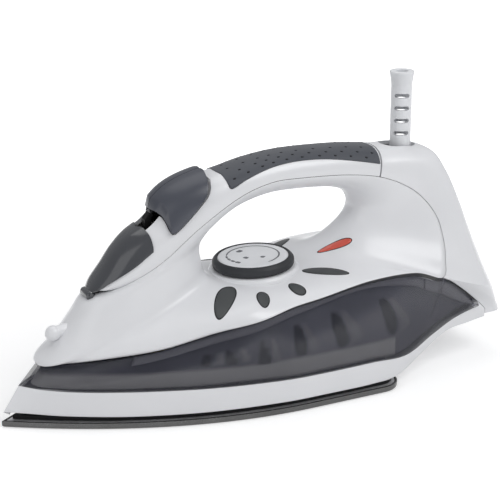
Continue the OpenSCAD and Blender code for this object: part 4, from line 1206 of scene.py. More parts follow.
@dataclass
class Inlays:
    """The dark petals and the pilot lamp's lens let into the deck."""

    housing: Housing
    # centre x and y, angle, length, width, taper
    petals: tuple[tuple[float, ...], ...] = (
        (121.6, 28.9, 49, 27, 10.6, 0.18),
        (141.2, 37.3, 67, 12.6, 7, 0.1),
        (163.5, 35.6, -75, 12, 7, 0.1),
        (186.4, 27.8, -37, 27.2, 7.2, -0.1),
    )
    lamp: tuple[float, ...] = (202.1, 10.9, -22, 20.5, 4.9, 0.0)
    # each petal and the lens lie over a larger black oval that paints the shadow round their edges
    shadow_sheet_crown: float = 0.06
    petal_crown: float = 0.42
    lens_crown: float = 0.6
    petal_fit: tuple[float, float] = (0.35, -0.25)  # how much the painted shadow sheet and the petal are grown
    lens_fit: tuple[float, float] = (0.3, -0.2)
    steps: int = 48

    def oval(
        self, name: str, spec: Sequence[float], side: int, crown: float, grow: float
    ) -> bpy.types.Object:
        """Make one inlay: an oval button that follows the deck, with rounded edges.

        Args:
            name: the object's name.
            spec: centre x, centre y, angle, length, width and taper, right side.
            side: -1 for the right side of the iron, 1 for the left.
            crown: how far the middle stands above the deck.
            grow: how much larger than drawn, in millimetres.

        Returns:
            The inlay.
        """
        x0, y0, angle, length, width, taper = spec
        turn = math.radians(angle)
        profile = (
            (0.0, crown), (0.45, crown * 0.95), (0.75, crown * 0.8), (0.9, crown * 0.55),
            (0.97, 0.1), (1.0, -0.9),
        )
        bm = bmesh.new()
        bmesh.ops.create_circle(bm, cap_ends=False, radius=1.0, segments=self.steps)
        loops = [list(bm.verts)]
        edges = list(bm.edges)
        for _ in profile[1:-1]:
            made = bmesh.ops.extrude_edge_only(bm, edges=edges)
            loops.append([g for g in made["geom"] if isinstance(g, bmesh.types.BMVert)])
            edges = [g for g in made["geom"] if isinstance(g, bmesh.types.BMEdge)]
        bmesh.ops.contextual_create(bm, geom=edges)
        bmesh.ops.poke(bm, faces=[f for f in bm.faces if len(f.verts) > 4])
        centre = next(v for v in bm.verts if len(v.link_edges) == self.steps)
        rest = list(reversed(loops))
        for (share, lift), loop in zip(profile[1:], rest):
            for vert in loop:
                a = math.atan2(vert.co.y, vert.co.x)
                fat = 1 + taper * math.cos(a)
                ox = (length / 2 + grow) * math.cos(a) * share
                oy = (width / 2 + grow) * fat * math.sin(a) * share
                px = x0 + ox * math.cos(turn) - oy * math.sin(turn)
                py = y0 - (ox * math.sin(turn) + oy * math.cos(turn))
                vert.co = self.housing.on_deck(px, side * py, lift)
        centre.co = self.housing.on_deck(x0, side * y0, profile[0][1])
        bmesh.ops.recalc_face_normals(bm, faces=bm.faces)
        bm.normal_update()
        if centre.normal.z < 0:
            bmesh.ops.reverse_faces(bm, faces=bm.faces)
        return new_object(name, bm)

    def build(self, finish: Finishes) -> None:
        """Build the eight petals and the lens, each over a black oval of painted shadow.

        Args:
            finish: the finishes.
        """
        for k, spec in enumerate(self.petals, 1):
            for side, word in ((-1, "right"), (1, "left")):
                name, (wide, tight) = f"{k}_{word}", self.petal_fit
                # a larger black oval under the petal: painted shadow round its edge
                shadow_sheet = self.oval(f"petal_shadow_sheet_{name}", spec, side, self.shadow_sheet_crown, wide)
                settle(shadow_sheet, finish["black_band_and_painted_shade"], "petal_grey")
                petal = self.oval(f"petal_pad_{name}", spec, side, self.petal_crown, tight)
                settle(petal, finish["petal_grey"], "petal_grey", Body.IRON, f"petal_{name}")
        wide, tight = self.lens_fit
        # a larger black oval under the lens: painted shadow round its edge
        shadow_sheet = self.oval("lamp_shadow_sheet", self.lamp, -1, self.shadow_sheet_crown, wide)
        settle(shadow_sheet, finish["black_band_and_painted_shade"], "lens_red")
        lens = self.oval("lamp_window", self.lamp, -1, self.lens_crown, tight)
        settle(lens, finish["lens_red"], "lens_red", Body.IRON, "lamp_lens")


@dataclass
class Covers:
    """The front handle cover and the rear cover."""

    wall: float = 2.2
    seam: float = 0.02
    seam_u: float = 15.8
    front_u: float = 8.75
    tail_u: float = 25.0
    lever_window: tuple[float, ...] = (82, 99.4, 7.6, 98)  # two ends, half width, foot
    filling_hole: tuple[float, ...] = (68, 5.2, 60, 130)  # middle, radius, foot, top
    cord_slot: tuple[float, ...] = (245.5, 253.5, 7.6, 120)  # two ends' middles, radius, foot
    heel_z: float = 27.4
    heel_gap: tuple[float, float] = (0.3, 0.995)  # gap behind the floor, share of the width
    # borders of the buttons' opening as rays and shares
    key_head: tuple[tuple[float, float], ...] = (
        (11.17, 0), (11.18, 0.1), (11.17, 0.3), (11.06, 0.5), (10.81, 0.75),
    )
    key_low: tuple[tuple[float, float], ...] = ((10.81, 0.75), (10.84, 0.765))
    key_back: tuple[tuple[float, float], ...] = (
        (12.08, 0), (12.08, 0.13), (11.94, 0.43), (11.74, 0.63), (11.48, 0.72), (11.2, 0.75),
        (10.84, 0.765),
    )
    key_room: float = 0.7
    grip_ends: tuple[float, float] = (130, 229.6)
    grip_outline: tuple[tuple[float, float], ...] = (
        (130.2, 134), (131, 125.2), (133, 121.3), (142, 125), (152.7, 128.4), (163, 130.4),
        (175.5, 131.2), (190, 130.6), (202.8, 128.9), (216, 126.4), (228.3, 123.6),
    )

    def sheet(self, u0: float, u1: float, cols: int, rows: int) -> bmesh.types.BMesh:
        """Make the covers' skin between two rays as an open sheet.

        Args:
            u0: the first ray.
            u1: the last ray.
            cols: faces along the iron.
            rows: faces across it.

        Returns:
            The skin, with its faces looking outwards.
        """
        bm = grid_mesh(cols, rows, lambda a, b: SKIN.cover_point(lerp(u0, u1, a), 2 * b - 1))
        face_outwards(bm, in_frame((SKIN.ridge(u0)[0] + SKIN.ridge(u1)[0]) / 2, 0, 60))
        return bm

    def key_hole(self) -> list[tuple[float, float]]:
        """Return the outline of the buttons' opening in side view.

        Returns:
            Places (x, z), with room behind and below for the buttons' travel.
        """
        head, back = smooth_line(self.key_head, 4), smooth_line(self.key_back, 5)
        outline = []
        for line, room in ((head, 0.0), (reversed(back), self.key_room)):
            for u, s in line:
                x, _, z = SKIN.cover_point(u, s)
                outline.append((x + room, z - room))
        return [(outline[0][0], CUT_TOP), *outline, (outline[-1][0], CUT_TOP)]

    def lever_hole(self) -> bpy.types.Object:
        """Make the cutter of the lever's opening."""
        x0, x1, half, foot = self.lever_window
        return plan_prism([(x0, -half), (x1, -half), (x1, half), (x0, half)], foot)

    def build(self, finish: Finishes) -> None:
        """Build both covers with their openings.

        Args:
            finish: the finishes.
        """
        seam_u = self.seam_u
        front = new_object("handle_shell", self.sheet(self.front_u, seam_u - self.seam, 150, 44))
        solidify(front, self.wall)
        apply_modifiers(front)
        first, last = self.grip_ends
        grip = [(first, CUT_TOP), *smooth_line(self.grip_outline, 4), (last, CUT_TOP)]
        x, r, *filling_z = self.filling_hole
        cut(front, [
            side_prism(self.key_hole(), CUT_HALF),
            side_prism(grip, CUT_HALF),
            self.lever_hole(),
            plan_prism(ring_points(x, 0, r), *filling_z),
        ])
        mark_sharp(front)
        settle(front, finish["white_shell"], "white_plastic", Body.IRON, "handle_cover")
        rear = new_object("rear_shell", self.sheet(seam_u + self.seam, self.tail_u, 110, 60))
        solidify(rear, self.wall)
        apply_modifiers(rear)
        x0, x1, r, foot = self.cord_slot
        ends = half_circle(r, 6)
        slot = [(x1 + c, d) for c, d in ends] + [(x0 - c, -d) for c, d in ends]
        cut(rear, [plan_prism(slot, foot)])
        mark_sharp(rear)
        settle(rear, finish["white_shell"], "white_plastic", Body.IRON, "rear_cover")
        floor_edge = [SKIN.cover_point(self.tail_u, -1 + 2 * j / 40) for j in range(41)]
        gap, share = self.heel_gap
        outline = [(p[0] - gap, p[1] * share) for p in floor_edge]
        floor = plan_prism(outline, self.heel_z, self.heel_z + self.wall)
        floor.name = "heel_floor"
        settle(floor, finish["white_shell"], "white_plastic")


@dataclass
class Base:
    """The soleplate's sheet, the white skirt and the smoke tank."""

    sole_l: float = 224.0
    half_w: float = 57.0
    shoulder_x: float = 164.0
    corner_r: float = 13.0
    rim_h: float = 3.6
    rim_r: float = 1.4
    sole_wall: float = 0.9
    steam_rows: tuple[float, float, int, float] = (34, 20, 9, 0.62)  # first, pitch, count, share
    steam_middle: tuple[float, ...] = (22, 40, 58, 76)
    steam_hole: tuple[float, float, float] = (2.3, 1.4, 2.6)  # radius below, above, depth
    skirt_end: float = 12
    tray_first: float = 7.6
    tray_wall: float = 1.6
    tray_gap: float = 0.4
    tank_wall: float = 2.0
    liner_wall: float = 1.2
    liner_depth: float = 4.8
    liner_end: float = 10.9
    rib_height: float = 2.4
    rim_wall: float = 1.0
    rim_depth: float = 2.2
    # share of the stations, share up the side
    rim_line: tuple[tuple[float, float], ...] = (
        (0.2, 0.73), (0.3, 0.8), (0.4, 0.85), (0.5, 0.9), (0.6, 0.93), (0.7, 0.87), (0.8, 0.77),
        (0.9, 0.62), (1.0, 0.4),
    )
    rim_joint: float = 8.35
    # x and z of a rib's top and foot, half width
    ribs: tuple[tuple[float, ...], ...] = (
        (108.8, 39.5, 106.5, 31.3, 3.4),
        (119.7, 40.1, 121.5, 30.7, 3.8),
        (138.8, 43.2, 140.7, 28.0, 4.2),
        (160.1, 48.5, 164.5, 29.9, 5.6),
        (183.7, 52.1, 192.7, 31.1, 6.6),
        (216.6, 54.1, 227.7, 31.6, 7.2),
    )
    wall: float = 2.2
    seam: float = 0.15

    def sole_half(self, x: float) -> float:
        """Return the sole's half width at x."""
        if x >= self.shoulder_x:
            return self.half_w
        return self.half_w * (1 - (1 - max(0.0, x) / self.shoulder_x) ** 2)

    def sole_side(self) -> list[tuple[float, float]]:
        """Return the half outline from the nose to the rear edge.

        Returns:
            Places (x, y) from the tip to the middle of the heel.
        """
        length = self.sole_l - self.corner_r
        side = [(length * i / 64, self.sole_half(length * i / 64)) for i in range(65)]
        for k in range(1, 13):
            a, r = math.radians(90 - 7.5 * k), self.corner_r
            side.append((length + r * math.cos(a), self.half_w - r + r * math.sin(a)))
        return side

    def build_sole(self, finish: Finishes) -> None:
        """Build the turned-up steel sheet with its steam holes.

        Args:
            finish: the finishes.
        """
        side = self.sole_side()
        bm = bmesh.new()
        outline = side + [(x, -y) for x, y in reversed(side[1:])]
        face = bm.faces.new([bm.verts.new(in_frame(x, y, 0)) for x, y in outline])
        made = bmesh.ops.extrude_face_region(bm, geom=[face])["geom"]
        top = [g for g in made if isinstance(g, bmesh.types.BMVert)]
        bmesh.ops.translate(bm, verts=top, vec=(0, 0, self.rim_h * MM))
        roofs = [f for f in bm.faces if all(v.co.z > 0.5 * self.rim_h * MM for v in f.verts)]
        bmesh.ops.delete(bm, geom=roofs, context="FACES_ONLY")
        foot = [e for e in bm.edges if all(v.co.z < 1e-6 for v in e.verts)]
        bmesh.ops.bevel(
            bm, geom=foot, offset=self.rim_r * MM, offset_type="OFFSET", segments=5, profile=0.5,
            affect="EDGES", material=-1, clamp_overlap=False,
        )
        face_outwards(bm, in_frame(120, 0, 3))
        sole = new_object("sole_sheet", bm)
        solidify(sole, self.sole_wall)
        apply_modifiers(sole)
        first, pitch, count, share = self.steam_rows
        rows = [first + pitch * i for i in range(count)]
        holes = [(x, s * share * self.sole_half(x)) for x in rows for s in (-1, 1)]
        holes += [(x, 0.0) for x in self.steam_middle]
        cutters = bmesh.new()
        below, above, depth = (d * MM for d in self.steam_hole)
        for x, y in holes:
            made = bmesh.ops.create_cone(
                cutters, cap_ends=True, segments=24, radius1=below, radius2=above, depth=depth
            )
            bmesh.ops.translate(cutters, verts=made["verts"], vec=in_frame(x, y, self.sole_wall))
        cut(sole, [new_object("cutter", cutters)])
        mark_sharp(sole, 35)
        settle(sole, finish["sole_steel"], "steel", Body.IRON, "soleplate_sheet")

    @staticmethod
    def band(
        name: str, skin: Callable[[float, float], Point], q1: float, cols: int, rows: int
    ) -> bpy.types.Object:
        """Make a band round the nose from a side skin, both sides in one sheet.

        Args:
            name: the object's name.
            skin: gives the right-hand place at a station and a share up the side.
            q1: the station where the band ends.
            cols: faces round the iron.
            rows: faces up the side.

        Returns:
            The band, as an open sheet.
        """

        def place(a: float, b: float) -> Point:
            """Return the band at share a round the iron and b up its side.

            Args:
                a: share round the iron.
                b: share up the side.

            Returns:
                The place (x, y, z).
            """
            q = abs(2 * a - 1) * q1
            p = skin(q, b)
            return p[0], math.copysign(p[1], a - 0.5), p[2]

        bm = grid_mesh(cols, rows, place)
        face_outwards(bm, in_frame(150, 0, 20))
        return new_object(name, bm)

    def build_skirt(self, finish: Finishes) -> None:
        """Build the white skirt and its tail tray.

        Args:
            finish: the finishes.
        """

        def outer(q: float, t: float) -> Point:
            """Return the skirt's outside, a seam's width below the tank at its top."""
            x, y, z = SKIN.skirt_skin(q, t)
            return x, y, z - t * self.seam

        skirt = self.band("skirt_shell", outer, self.skirt_end, 192, 8)
        solidify(skirt, self.wall)
        bevel(skirt, 0.35)
        settle(skirt, finish["white_shell"], "white_plastic", Body.IRON, "skirt")

        def tray(a: float, b: float) -> Point:
            """Return the tail's underside."""
            p = catmull(SKIN.skirt_rows, lerp(self.tray_first, self.skirt_end, a))
            return p[0], lerp(-1, 1, b) * (p[1] - self.tray_gap), p[2] + 0.05

        bm = grid_mesh(30, 8, tray)
        face_outwards(bm, in_frame(250, 0, 80))
        floor = new_object("skirt_tray", bm)
        solidify(floor, self.tray_wall)
        settle(floor, finish["white_shell"], "white_plastic")

    def build_tank(self, finish: Finishes) -> None:
        """Build the smoke tank's shell and the parts seen through it.

        Args:
            finish: the finishes.
        """
        tank = self.band("tank_shell", SKIN.tank_skin, SKIN.stations, 200, 14)
        solidify(tank, self.tank_wall)
        bevel(tank, 0.4)
        settle(tank, finish["smoke_tank"], "smoke_plastic", Body.IRON, "water_tank")

        def inner(q: float, t: float) -> Point:
            """Return the liner behind the tank's wall, with its swelling ribs."""
            return self.set_in(q, t, self.liner_depth - self.rib_height * self.rib(q, t))

        liner = self.band("tank_liner", inner, self.liner_end, 330, 30)
        self.shade_ribs(liner)
        solidify(liner, self.liner_wall, even=False)
        settle(liner, finish["tank_liner"], "smoke_plastic")
        joint = self.rim_joint
        halves = (("front", 2.6, joint - 0.03), ("rear", joint + 0.03, self.liner_end))
        for name, first, last in halves:
            for side, word in ((-1, "right"), (1, "left")):
                rim = self.rim_strip(f"tank_rim_{name}_{word}", first, last, side)
                settle(rim, finish["tank_rim"], "smoke_plastic")

    def set_in(self, q: float, t: float, depth: float) -> Point:
        """Move a place on the tank's skin inwards.

        Args:
            q: the station.
            t: share up the tank's side.
            depth: how far, in millimetres.

        Returns:
            The place, moved backwards at the nose and square to the skin elsewhere.
        """
        p = Vector(SKIN.tank_skin(q, t))
        ahead = clamp01(1 - q)
        back = Vector((p.x + 1.6 * depth * ahead, p.y - depth * clamp01(q), p.z))
        step = 0.03 if q < self.liner_end - 1 else -0.03
        along = (Vector(SKIN.tank_skin(q + step, t)) - p) * math.copysign(1, step)
        above, below = SKIN.tank_skin(q, min(1, t + 0.03)), SKIN.tank_skin(q, max(0, t - 0.03))
        out = along.cross(Vector(above) - Vector(below)).normalized()
        if out.y < 0:
            out = -out
        p = back.lerp(p - out * depth, clamp01((q - 0.6) / 1.4))
        return p.x, max(0.0, p.y), p.z

    def shade_ribs(self, liner: bpy.types.Object) -> None:
        """Store the ribs' painted shade in front and painted highlight behind, for the liner.

        Args:
            liner: the liner.
        """
        skin = liner.data.uv_layers["skin"].data
        flank = liner.data.uv_layers.new(name="flank").data
        for i, loop in enumerate(skin):
            q, t = abs(2 * loop.uv[0] - 1) * self.liner_end, loop.uv[1]
            rise = self.rib(q + 0.1, t) - self.rib(q - 0.1, t)
            # x is painted shade where a rib rises towards the back, y painted highlight where it
            # falls
            flank[i].uv = clamp01(2.6 * rise), clamp01(-1.4 * rise) * 0.7

    def rib(self, q: float, t: float) -> float:
        """Return how far the liner swells out at a place, from 0 to 1.

        Args:
            q: the station.
            t: share up the tank's side.

        Returns:
            Zero between the ribs and one on top of a rib.
        """
        x, _, z = SKIN.tank_skin(q, t)
        swell = 0.0
        for x0, z0, x1, z1, width in self.ribs:
            dx, dz = x1 - x0, z1 - z0
            length = math.hypot(dx, dz)
            along = ((x - x0) * dx + (z - z0) * dz) / length**2
            across = ((x - x0) * dz - (z - z0) * dx) / length
            half = width * (0.3 + 0.7 * clamp01(along * 1.3))
            end = 4 * (along - 0.5) ** 2
            swell = max(swell, max(0.0, 1 - end) ** 0.6 * max(0.0, 1 - (across / half) ** 2))
        return swell

    def rim_strip(self, name: str, first: float, last: float, side: int) -> bpy.types.Object:
        """Make one strip of the tank's thicker upper rim.

        Args:
            name: the object's name.
            first: first station.
            last: last station.
            side: -1 for the right side of the iron, 1 for the left.

        Returns:
            The strip.
        """

        def place(a: float, b: float) -> Point:
            """Return the strip at share a along it and b up it.

            Args:
                a: share along the strip.
                b: share up it.

            Returns:
                The place (x, y, z).
            """
            q = lerp(first, last, a)
            u0, u1 = self.rim_line[0][0], self.rim_line[-1][0]
            k = (len(self.rim_line) - 1) * (q / SKIN.stations - u0) / (u1 - u0)
            p = self.set_in(q, lerp(catmull(self.rim_line, k)[1], 0.99, b), self.rim_depth)
            return p[0], side * p[1], p[2]

        bm = grid_mesh(90, 3, place)
        face_outwards(bm, in_frame(150, 0, 30))
        strip = new_object(name, bm)
        solidify(strip, self.rim_wall, even=False)
        return strip


@dataclass
class HandlePieces:
    """The soft grip, the fill door and the two buttons."""

    covers: Covers
    grip_span: tuple[float, float] = (11.9, 15.9)
    grip_head: tuple[tuple[float, float], ...] = ((12.3, 0), (12.31, 0.25), (12.22, 0.52))
    grip_back: tuple[tuple[float, float], ...] = ((229.4, 131.6), (229, 128))
    grip_wall: float = 2.4
    grip_lift: float = 0.4
    dimple_rows: tuple[float, ...] = (0.13, 0.42, 0.7)
    dimple_span: tuple[float, float] = (0.06, 0.96)
    dimple_pitch: float = 0.094
    dimple_half: tuple[float, float] = (0.95, 0.6)
    key_front: tuple[tuple[float, float], ...] = (
        (11.29, 0), (11.3, 0.12), (11.29, 0.3), (11.14, 0.5),
    )
    key_slit: float = 0.25
    key_trim: float = 0.024
    key_rise: tuple[float, float, float] = (2.3, 3.7, 1.1)  # at the border, crown, fall back
    foot_rise: tuple[float, float, float] = (-0.8, 1.4, 3.1)  # inside, border, over the lever
    # depth and wall of the black sheets that paint the shade under the buttons
    shadow_sheet_depth: float = 3.0
    shadow_sheet_wall: float = 1.0
    lid_head: tuple[tuple[float, float], ...] = (
        (8.45, 0.0), (8.46, 0.12), (8.48, 0.24), (8.52, 0.36),
    )
    lid_low: tuple[tuple[float, float], ...] = (
        (8.7, 0.47), (9.02, 0.54), (9.35, 0.62), (9.79, 0.72), (10.08, 0.74), (10.28, 0.755),
    )
    lid_back: tuple[tuple[float, float], ...] = (
        (10.82, 0), (10.87, 0.12), (10.84, 0.25), (10.7, 0.46), (10.45, 0.66), (10.28, 0.755),
    )
    lid_wall: float = 2.0
    lid_rise: float = 1.2
    lid_fall: float = 0.3
    bead: tuple[float, float, float, float] = (52.4, 68.9, 2.7, 5.9)  # x, z, radius, half length
    bead_dome: float = 0.6

    @staticmethod
    def drawn(
        points: Sequence[tuple[float, float]], reach: tuple[float, float]
    ) -> list[tuple[float, float]]:
        """Find the rays and shares of a smooth line drawn in side view.

        Args:
            points: places (x, z) on the covers.
            reach: the lowest and highest ray that the line can lie on.

        Returns:
            The line as rays and shares.
        """
        return [SKIN.cover_uv(*p, *reach) for p in smooth_line(points, 6)]

    @staticmethod
    def surface(
        borders: tuple[Sequence[tuple[float, float]], ...],
        lift: Callable[[float, float], float],
        side: int = 0,
        gap: float = 0.0,
        trim: float = 0.0,
    ) -> Place:
        """Return the places of a piece of skin between the ridge and three borders.

        Args:
            borders: the bottom, front and rear borders as rays and shares.
            lift: gives how far the skin is moved out at shares along and down the piece.
            side: 0 for both sides in one piece, else -1 or 1.
            gap: half of the slit left in the middle plane.
            trim: share of the piece that is left off along its borders.

        Returns:
            A function of the shares along and across the piece.
        """
        low, head, back = borders

        def along(line: Sequence[tuple[float, float]], t: float) -> Vector:
            """Return the place on a border at share t.

            Args:
                line: the border.
                t: share along it.

            Returns:
                The ray and the section share.
            """
            k = t * (len(line) - 1)
            i = min(int(k), len(line) - 2)
            return Vector(line[i]).lerp(Vector(line[i + 1]), k - i)

        c00, c10 = Vector((head[0][0], 0.0)), Vector((back[0][0], 0.0))
        c01, c11 = along(low, 0), along(low, 1)

        def place(a: float, b: float) -> Vector:
            """Return the place of the patch in millimetres.

            Args:
                a: share along the piece.
                b: share across it.

            Returns:
                The place (x, y, z).
            """
            share = abs(2 * b - 1) if side == 0 else b
            sign = math.copysign(1.0, b - 0.5) if side == 0 else side
            a_in, b_in = lerp(trim, 1 - trim, a), share * (1 - trim)
            ridge = c00.lerp(c10, a_in)
            across = (1 - b_in) * ridge + b_in * along(low, a_in)
            down = (1 - a_in) * along(head, b_in) + a_in * along(back, b_in)
            u, s = across + down - (1 - b_in) * ridge - b_in * c01.lerp(c11, a_in)
            p = SKIN.cover_offset(u, sign * min(1.0, max(0.0, s)), lift(a, share))
            if share < 1e-9:
                p.y = 0.0
            if side != 0:
                p.y = side * max(gap, abs(p.y))
            return p

        return place

    @staticmethod
    def patch(name: str, place: Place, cols: int, rows: int) -> bpy.types.Object:
        """Make an open sheet from the places of a piece of skin.

        Args:
            name: the object's name.
            place: gives the places at shares along and across it.
            cols: faces along it.
            rows: faces across it.

        Returns:
            The sheet.
        """
        bm = grid_mesh(cols, rows, place)
        face_outwards(bm, in_frame(place(0.5, 0.5)[0], 0, 70))
        return new_object(name, bm)

    @staticmethod
    def block(name: str, top: Place, foot: Place, cols: int, rows: int) -> bpy.types.Object:
        """Make a solid between an upper and a lower piece of skin.

        Args:
            name: the object's name.
            top: gives the places of its upper skin.
            foot: gives the places of its lower skin.
            cols: faces along it.
            rows: faces across it.

        Returns:
            The closed solid.
        """
        bm = bmesh.new()
        sheets = [
            [
                [bm.verts.new(in_frame(*place(i / cols, j / rows))) for j in range(rows + 1)]
                for i in range(cols + 1)
            ]
            for place in (top, foot)
        ]
        for sheet in sheets:
            for near, far in zip(sheet, sheet[1:]):
                for j in range(rows):
                    bm.faces.new((near[j], far[j], far[j + 1], near[j + 1]))
        rim = [(i, 0) for i in range(cols)] + [(cols, j) for j in range(rows)]
        rim += [(i, rows) for i in range(cols, 0, -1)] + [(0, j) for j in range(rows, 0, -1)]
        for (i, j), (k, m) in zip(rim, rim[1:] + rim[:1]):
            bm.faces.new((sheets[0][i][j], sheets[0][k][m], sheets[1][k][m], sheets[1][i][j]))
        bmesh.ops.recalc_face_normals(bm, faces=bm.faces)
        return new_object(name, bm)

    def key_lift(self, a: float, b: float) -> float:
        """Return how far a button stands out, most at its front and on the ridge."""
        border, crown, fall = self.key_rise
        return border + (crown - fall * a**3) * (1 - b**2.2)

    def key_foot(self, a: float, b: float) -> float:
        """Return how high a button's underside lies, with room for the lever at its front.

        Args:
            a: share along the button.
            b: share down its side.

        Returns:
            The height over the covers' skin, in millimetres.
        """
        inside, edge, lever = self.foot_rise
        front = clamp01((0.32 - a) / 0.1) * clamp01((0.5 - b) / 0.12)
        border = clamp01((max(a, b, 1 - 3 * a) - 0.7) / 0.12)
        return max(lerp(inside, edge, border), lerp(inside, lever, front))

    def lid_lift(self, a: float, _b: float) -> float:
        """Return how far the door stands out, least at its two ends."""
        return self.lid_rise - self.lid_fall * (1 - a) ** 4 - self.lid_fall * a**4

    def dimple(self, bm: bmesh.types.BMesh, place: Place, a: float, b: float, side: int) -> None:
        """Add one dimple, a flat dark lens of twelve sides.

        Args:
            bm: the mesh that it goes into.
            place: the grip's skin.
            a: share along the grip.
            b: share across it.
            side: -1 or 1, the half that it lies on.
        """
        here = Vector(place(a, b))
        x_dir = (Vector(place(a + 0.01, b)) - here).normalized()
        down = (Vector(place(a, b + 0.01 * side)) - here).normalized()
        out = x_dir.cross(down) * -side
        out = out if out.z > 0 else -out
        y_dir = out.cross(x_dir).normalized()
        long, wide = self.dimple_half
        ring = []
        for k in range(12):
            v = 2 * math.pi * k / 12
            rim = here + x_dir * long * math.cos(v) + y_dir * wide * math.sin(v) + out * 0.02
            ring.append(bm.verts.new(in_frame(*rim)))
        tips = [bm.verts.new(in_frame(*(here + out * d))) for d in (0.16, -0.5)]
        for k in range(12):
            for tip in tips:
                bm.faces.new((ring[k], ring[(k + 1) % 12], tip))

    def dimples(self, place: Place) -> bpy.types.Object:
        """Make the grip's small dimples, in rows that are set off from each other.

        Args:
            place: the grip's skin.

        Returns:
            All the dimples as one piece.
        """
        bm = bmesh.new()
        first, last = self.dimple_span
        for j, row in enumerate(self.dimple_rows):
            for i in range(10):
                a = first + self.dimple_pitch * (i + 0.5 * (j % 2))
                if a > last:
                    continue
                for side in (-1, 1):
                    self.dimple(bm, place, a, 0.5 + side * row / 2, side)
        bmesh.ops.recalc_face_normals(bm, faces=bm.faces)
        return new_object("grip_dimples", bm)

    def build_grip(self, finish: Finishes) -> None:
        """Build the soft grip with its dimples.

        Args:
            finish: the finishes.
        """
        outline = self.covers.grip_outline
        low = self.drawn(outline[2:], self.grip_span)
        head = [*self.grip_head, low[0]]
        back = self.drawn((*self.grip_back, outline[-1]), self.grip_span)
        skin = self.surface((low, head, back), lambda a, b: self.grip_lift)
        grip = self.patch("grip_inlay_soft", skin, 110, 40)
        solidify(grip, self.grip_wall, even=False)
        bevel(grip, 0.7, 3)
        settle(grip, finish["soft_grip"], "soft_grip", Body.IRON, "grip_inlay")
        settle(self.dimples(skin), finish["grip_dimple"], "soft_grip")

    def build_keys(self, finish: Finishes) -> None:
        """Build the two buttons and the black sheets of painted shade below them.

        Args:
            finish: the finishes.
        """
        low, back = self.covers.key_low, smooth_line(self.covers.key_back, 5)
        foot_head = smooth_line(self.covers.key_head, 4)
        top_head = smooth_line([*self.key_front, low[0]], 4)
        wide_low = [(low[0][0] - 0.03, 0.79), (low[1][0], 0.8)]
        wide_head = [(u - 0.03, s + 0.03 * (s > 0.5)) for u, s in foot_head[:-1]] + [wide_low[0]]
        wide_back = [(u + 0.07, s + 0.03 * (s > 0.3)) for u, s in back[:-1]] + [wide_low[1]]
        wide = (wide_low, wide_head, wide_back)
        for side, body, name in ((-1, Body.SPRAY, "spray"), (1, Body.STEAM, "steam")):
            # a black sheet under each button, seen through the gaps round it: painted shade in its
            # recess
            floor = self.surface(wide, lambda a, b: -self.shadow_sheet_depth, side)
            shadow_sheet = self.patch(f"{name}_key_shadow_sheet", floor, 26, 22)
            solidify(shadow_sheet, self.shadow_sheet_wall, even=False)
            cut(shadow_sheet, [self.covers.lever_hole()])
            settle(shadow_sheet, finish["black_band_and_painted_shade"], "black_plastic")
            rest = (side, self.key_slit, self.key_trim)
            top = self.surface((low, top_head, back), self.key_lift, *rest)
            foot = self.surface((low, foot_head, back), self.key_foot, *rest)
            key = self.block(f"{name}_key", top, foot, 30, 26)
            bevel(key, 0.5, 3, 40)
            settle(key, finish["button_satin"], "grey_plastic", body, f"{name}_button")

    def build_lid(self, finish: Finishes) -> None:
        """Build the filling door and the bead that its pin runs through.

        Args:
            finish: the finishes.
        """
        head, back = self.lid_head, smooth_line(self.lid_back, 4)
        low = smooth_line([head[-1], *self.lid_low], 4)
        lid = self.patch("fill_lid", self.surface((low, head, back), self.lid_lift), 70, 44)
        solidify(lid, self.lid_wall, even=False)
        bevel(lid, 0.6, 3)
        settle(lid, finish["door_gloss"], "grey_gloss", Body.DOOR, "fill_door")
        x, z, r, half = self.bead
        dome = r * self.bead_dome
        turns = [math.radians(v) for v in range(0, 91, 15)]
        arc = [(r * math.cos(v), half - dome + dome * math.sin(v)) for v in turns]
        turn = Matrix.Translation((x, 0, z)) @ Matrix.Rotation(math.radians(90), 4, "X")
        bead = lathe("fill_lid_bead", [(d, -h) for d, h in reversed(arc)] + arc, turn, 32)
        settle(bead, finish["door_gloss"], "grey_gloss", Body.DOOR)

    def build(self, finish: Finishes) -> None:
        """Build the grip, the buttons and the door.

        Args:
            finish: the finishes.
        """
        self.build_grip(finish)
        self.build_keys(finish)
        self.build_lid(finish)


